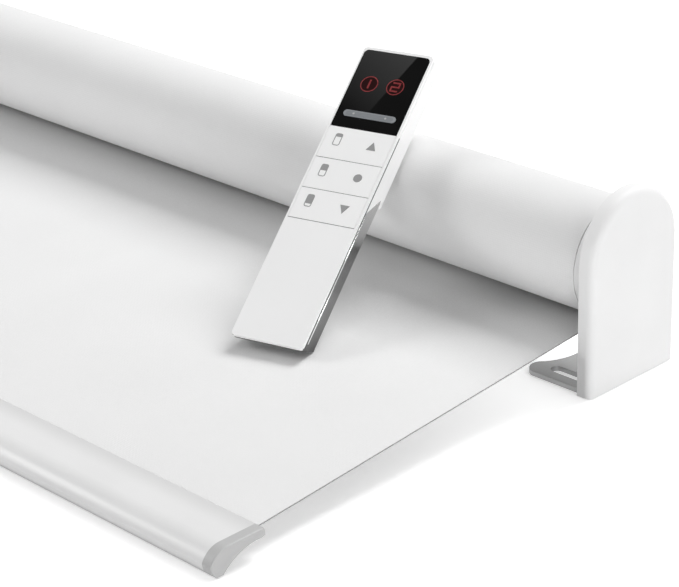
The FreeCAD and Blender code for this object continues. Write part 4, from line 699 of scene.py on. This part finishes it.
def wind_spring():
    coil_radius, wire, pitch, start, end = 4.3 * MM, 0.4 * MM, 2.35 * MM, 268.5 * MM, 286.7 * MM
    steps, sides = 28, 10
    count = round((end - start) / pitch * steps)
    along = Vector((1, 0, 0))
    rings = []
    for i in range(count + 1):
        angle = 2 * math.pi * i / steps
        out = Vector((0, math.cos(angle), math.sin(angle)))
        middle = Vector((start + (end - start) * i / count, AXIS.y, AXIS.z)) + out * coil_radius
        rings.append([middle + out * (u * wire) + along * (v * wire) for u, v in round_loop(0, 0, 1, sides)])
    coil = new_piece("pin_coil", tube_mesh("pin_coil", rings), "spring_steel", "pin")
    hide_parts("idler_spring")
    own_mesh(coil)


wind_spring()


# Floor and light. The floor's glow is FLOOR_GLOW near the object and white far from it;
# it falls to SHADE_GLOW where something is closer above it than SHADE_REACH.

FLOOR_GLOW = 0.74
GLOW_RISES, GLOW_WHITE = 0.9, 2.2
SHADE_GLOW = 0.46
SHADE_REACH = 0.022
ROOM_LIGHT = 0.33
WHITE = (1, 1, 1, 1)
LAMPS = (
    ("key", (0.2, 1.0, 1.3), (0.1, 0.0, 0.0), (0.75, 0.75), 18),
    ("fill", (1.65, -0.45, 0.17), (0.2, 0.0, 0.04), (1.2, 0.24), 9.5),
    ("left", (-2.2, -1.5, 1.4), (0.1, 0.0, 0.0), (1.1, 1.1), 28),
)


def seen_rays(tree):
    """1 for camera, glossy and transmission rays, 0 for the ones that only light."""
    path = add_node(tree, "LightPath").outputs
    value = path["Is Camera Ray"]
    for name in ("Is Glossy Ray", "Is Transmission Ray"):
        value = add_node(tree, "Math", {0: value, 1: path[name]}, operation="MAXIMUM").outputs[0]
    return value


def build_floor():
    """Pale matte floor that keeps the shadows, just under the feet."""
    shape = bmesh.new()
    bmesh.ops.create_grid(shape, x_segments=8, y_segments=8, size=4)
    bmesh.ops.translate(shape, verts=shape.verts, vec=(0, 0, -0.2 * MM))
    floor = bpy.data.objects.new("floor", to_mesh("floor", shape))
    scene.collection.objects.link(floor)
    material = bpy.data.materials.new("floor")
    material.use_nodes = True
    tree = material.node_tree
    tree.nodes.clear()
    spot = add_node(tree, "NewGeometry").outputs["Position"]
    reach = add_node(tree, "VectorMath", {0: spot}, operation="LENGTH").outputs["Value"]
    plain_glow = ramp(tree, reach, GLOW_RISES, GLOW_WHITE, FLOOR_GLOW, 1.0)
    sky = add_node(tree, "AmbientOcclusion", {"Distance": SHADE_REACH}).outputs["AO"]
    shaded_glow = ramp(tree, sky, 0.5, 1.0, SHADE_GLOW, plain_glow)
    strength = add_node(tree, "Math", {0: seen_rays(tree), 1: shaded_glow}, operation="MULTIPLY").outputs[0]
    glow = add_node(tree, "Emission", {"Strength": strength}).outputs[0]
    matte = add_node(tree, "BsdfDiffuse", {"Color": (0.8, 0.8, 0.8, 1)}).outputs[0]
    both = add_node(tree, "AddShader", {0: matte, 1: glow}).outputs[0]
    add_node(tree, "OutputMaterial", {"Surface": both})
    floor.data.materials.append(material)


def build_world():
    """A white room, which lights the object less than it shows."""
    world = bpy.data.worlds.new("studio")
    scene.world = world
    world.use_nodes = True
    tree = world.node_tree
    tree.nodes.clear()
    room = add_node(tree, "Background", {"Color": WHITE, "Strength": ROOM_LIGHT}).outputs[0]
    shown = add_node(tree, "Background", {"Color": WHITE, "Strength": 1.0}).outputs[0]
    mix = add_node(tree, "MixShader", {0: seen_rays(tree), 1: room, 2: shown}).outputs[0]
    add_node(tree, "OutputWorld", {"Surface": mix})


def add_lamp(name, spot, target, size, power):
    data = bpy.data.lights.new(name, "AREA")
    data.shape = "RECTANGLE"
    data.size, data.size_y = size
    data.energy = power
    lamp = bpy.data.objects.new(name, data)
    scene.collection.objects.link(lamp)
    lamp.location = spot
    lamp.rotation_euler = (Vector(spot) - Vector(target)).to_track_quat("Z", "Y").to_euler()
    return lamp


# A small lamp seen in the display's glass. It faces the glass's middle, and the ends of its
# edge are given where the camera sees them on the glass.
GLASS_MIDDLE = (0, 126)
GLOW_LOW, GLOW_HIGH = (-3.34, 109.3), (11.33, 151.62)
GLOW_DISTANCE = 1.0
GLOW_WIDTH = 60 * MM
GLOW_POWER = 0.15


def glow_in_window():
    """The glow's edge crosses the glass aslant, and its lower end fades."""
    glass = on_remote(*GLASS_MIDDLE, FACE_TOP)
    normal = REMOTE.to_3x3() @ Vector((0, 0, 1))
    camera = Vector(CAMERA_SPOT)
    mirrored = camera - 2 * (camera - glass).dot(normal) * normal
    away = (glass - mirrored).normalized()
    reach = (glass - mirrored).length + GLOW_DISTANCE

    def behind(u, v):
        """The point of the lamp's plane that the camera sees at a point of the glass."""
        ray = on_remote(u, v, FACE_TOP) - mirrored
        return mirrored + ray * (reach / ray.dot(away))

    low, high = behind(*GLOW_LOW), behind(*GLOW_HIGH)
    along = (low - high).normalized()
    across = along.cross(away)
    centre = (low + high) / 2 + across * GLOW_WIDTH / 2
    lamp = add_lamp("window_glow", centre, glass, (GLOW_WIDTH, (low - high).length), GLOW_POWER)
    turn = Matrix((across, along, away)).transposed().to_4x4()
    lamp.matrix_world = Matrix.Translation(centre) @ turn
    lamp.data.use_nodes = True
    tree = lamp.data.node_tree
    spot = add_node(tree, "NewGeometry").outputs["Parametric"]
    down = add_node(tree, "SeparateXYZ", {0: spot}).outputs["Y"]
    tree.links.new(ramp(tree, down, 0.0, 1.0, 1.0, 0.0), tree.nodes["Emission"].inputs["Strength"])


build_floor()
build_world()
for lamp in LAMPS:
    add_lamp(*lamp)
glow_in_window()
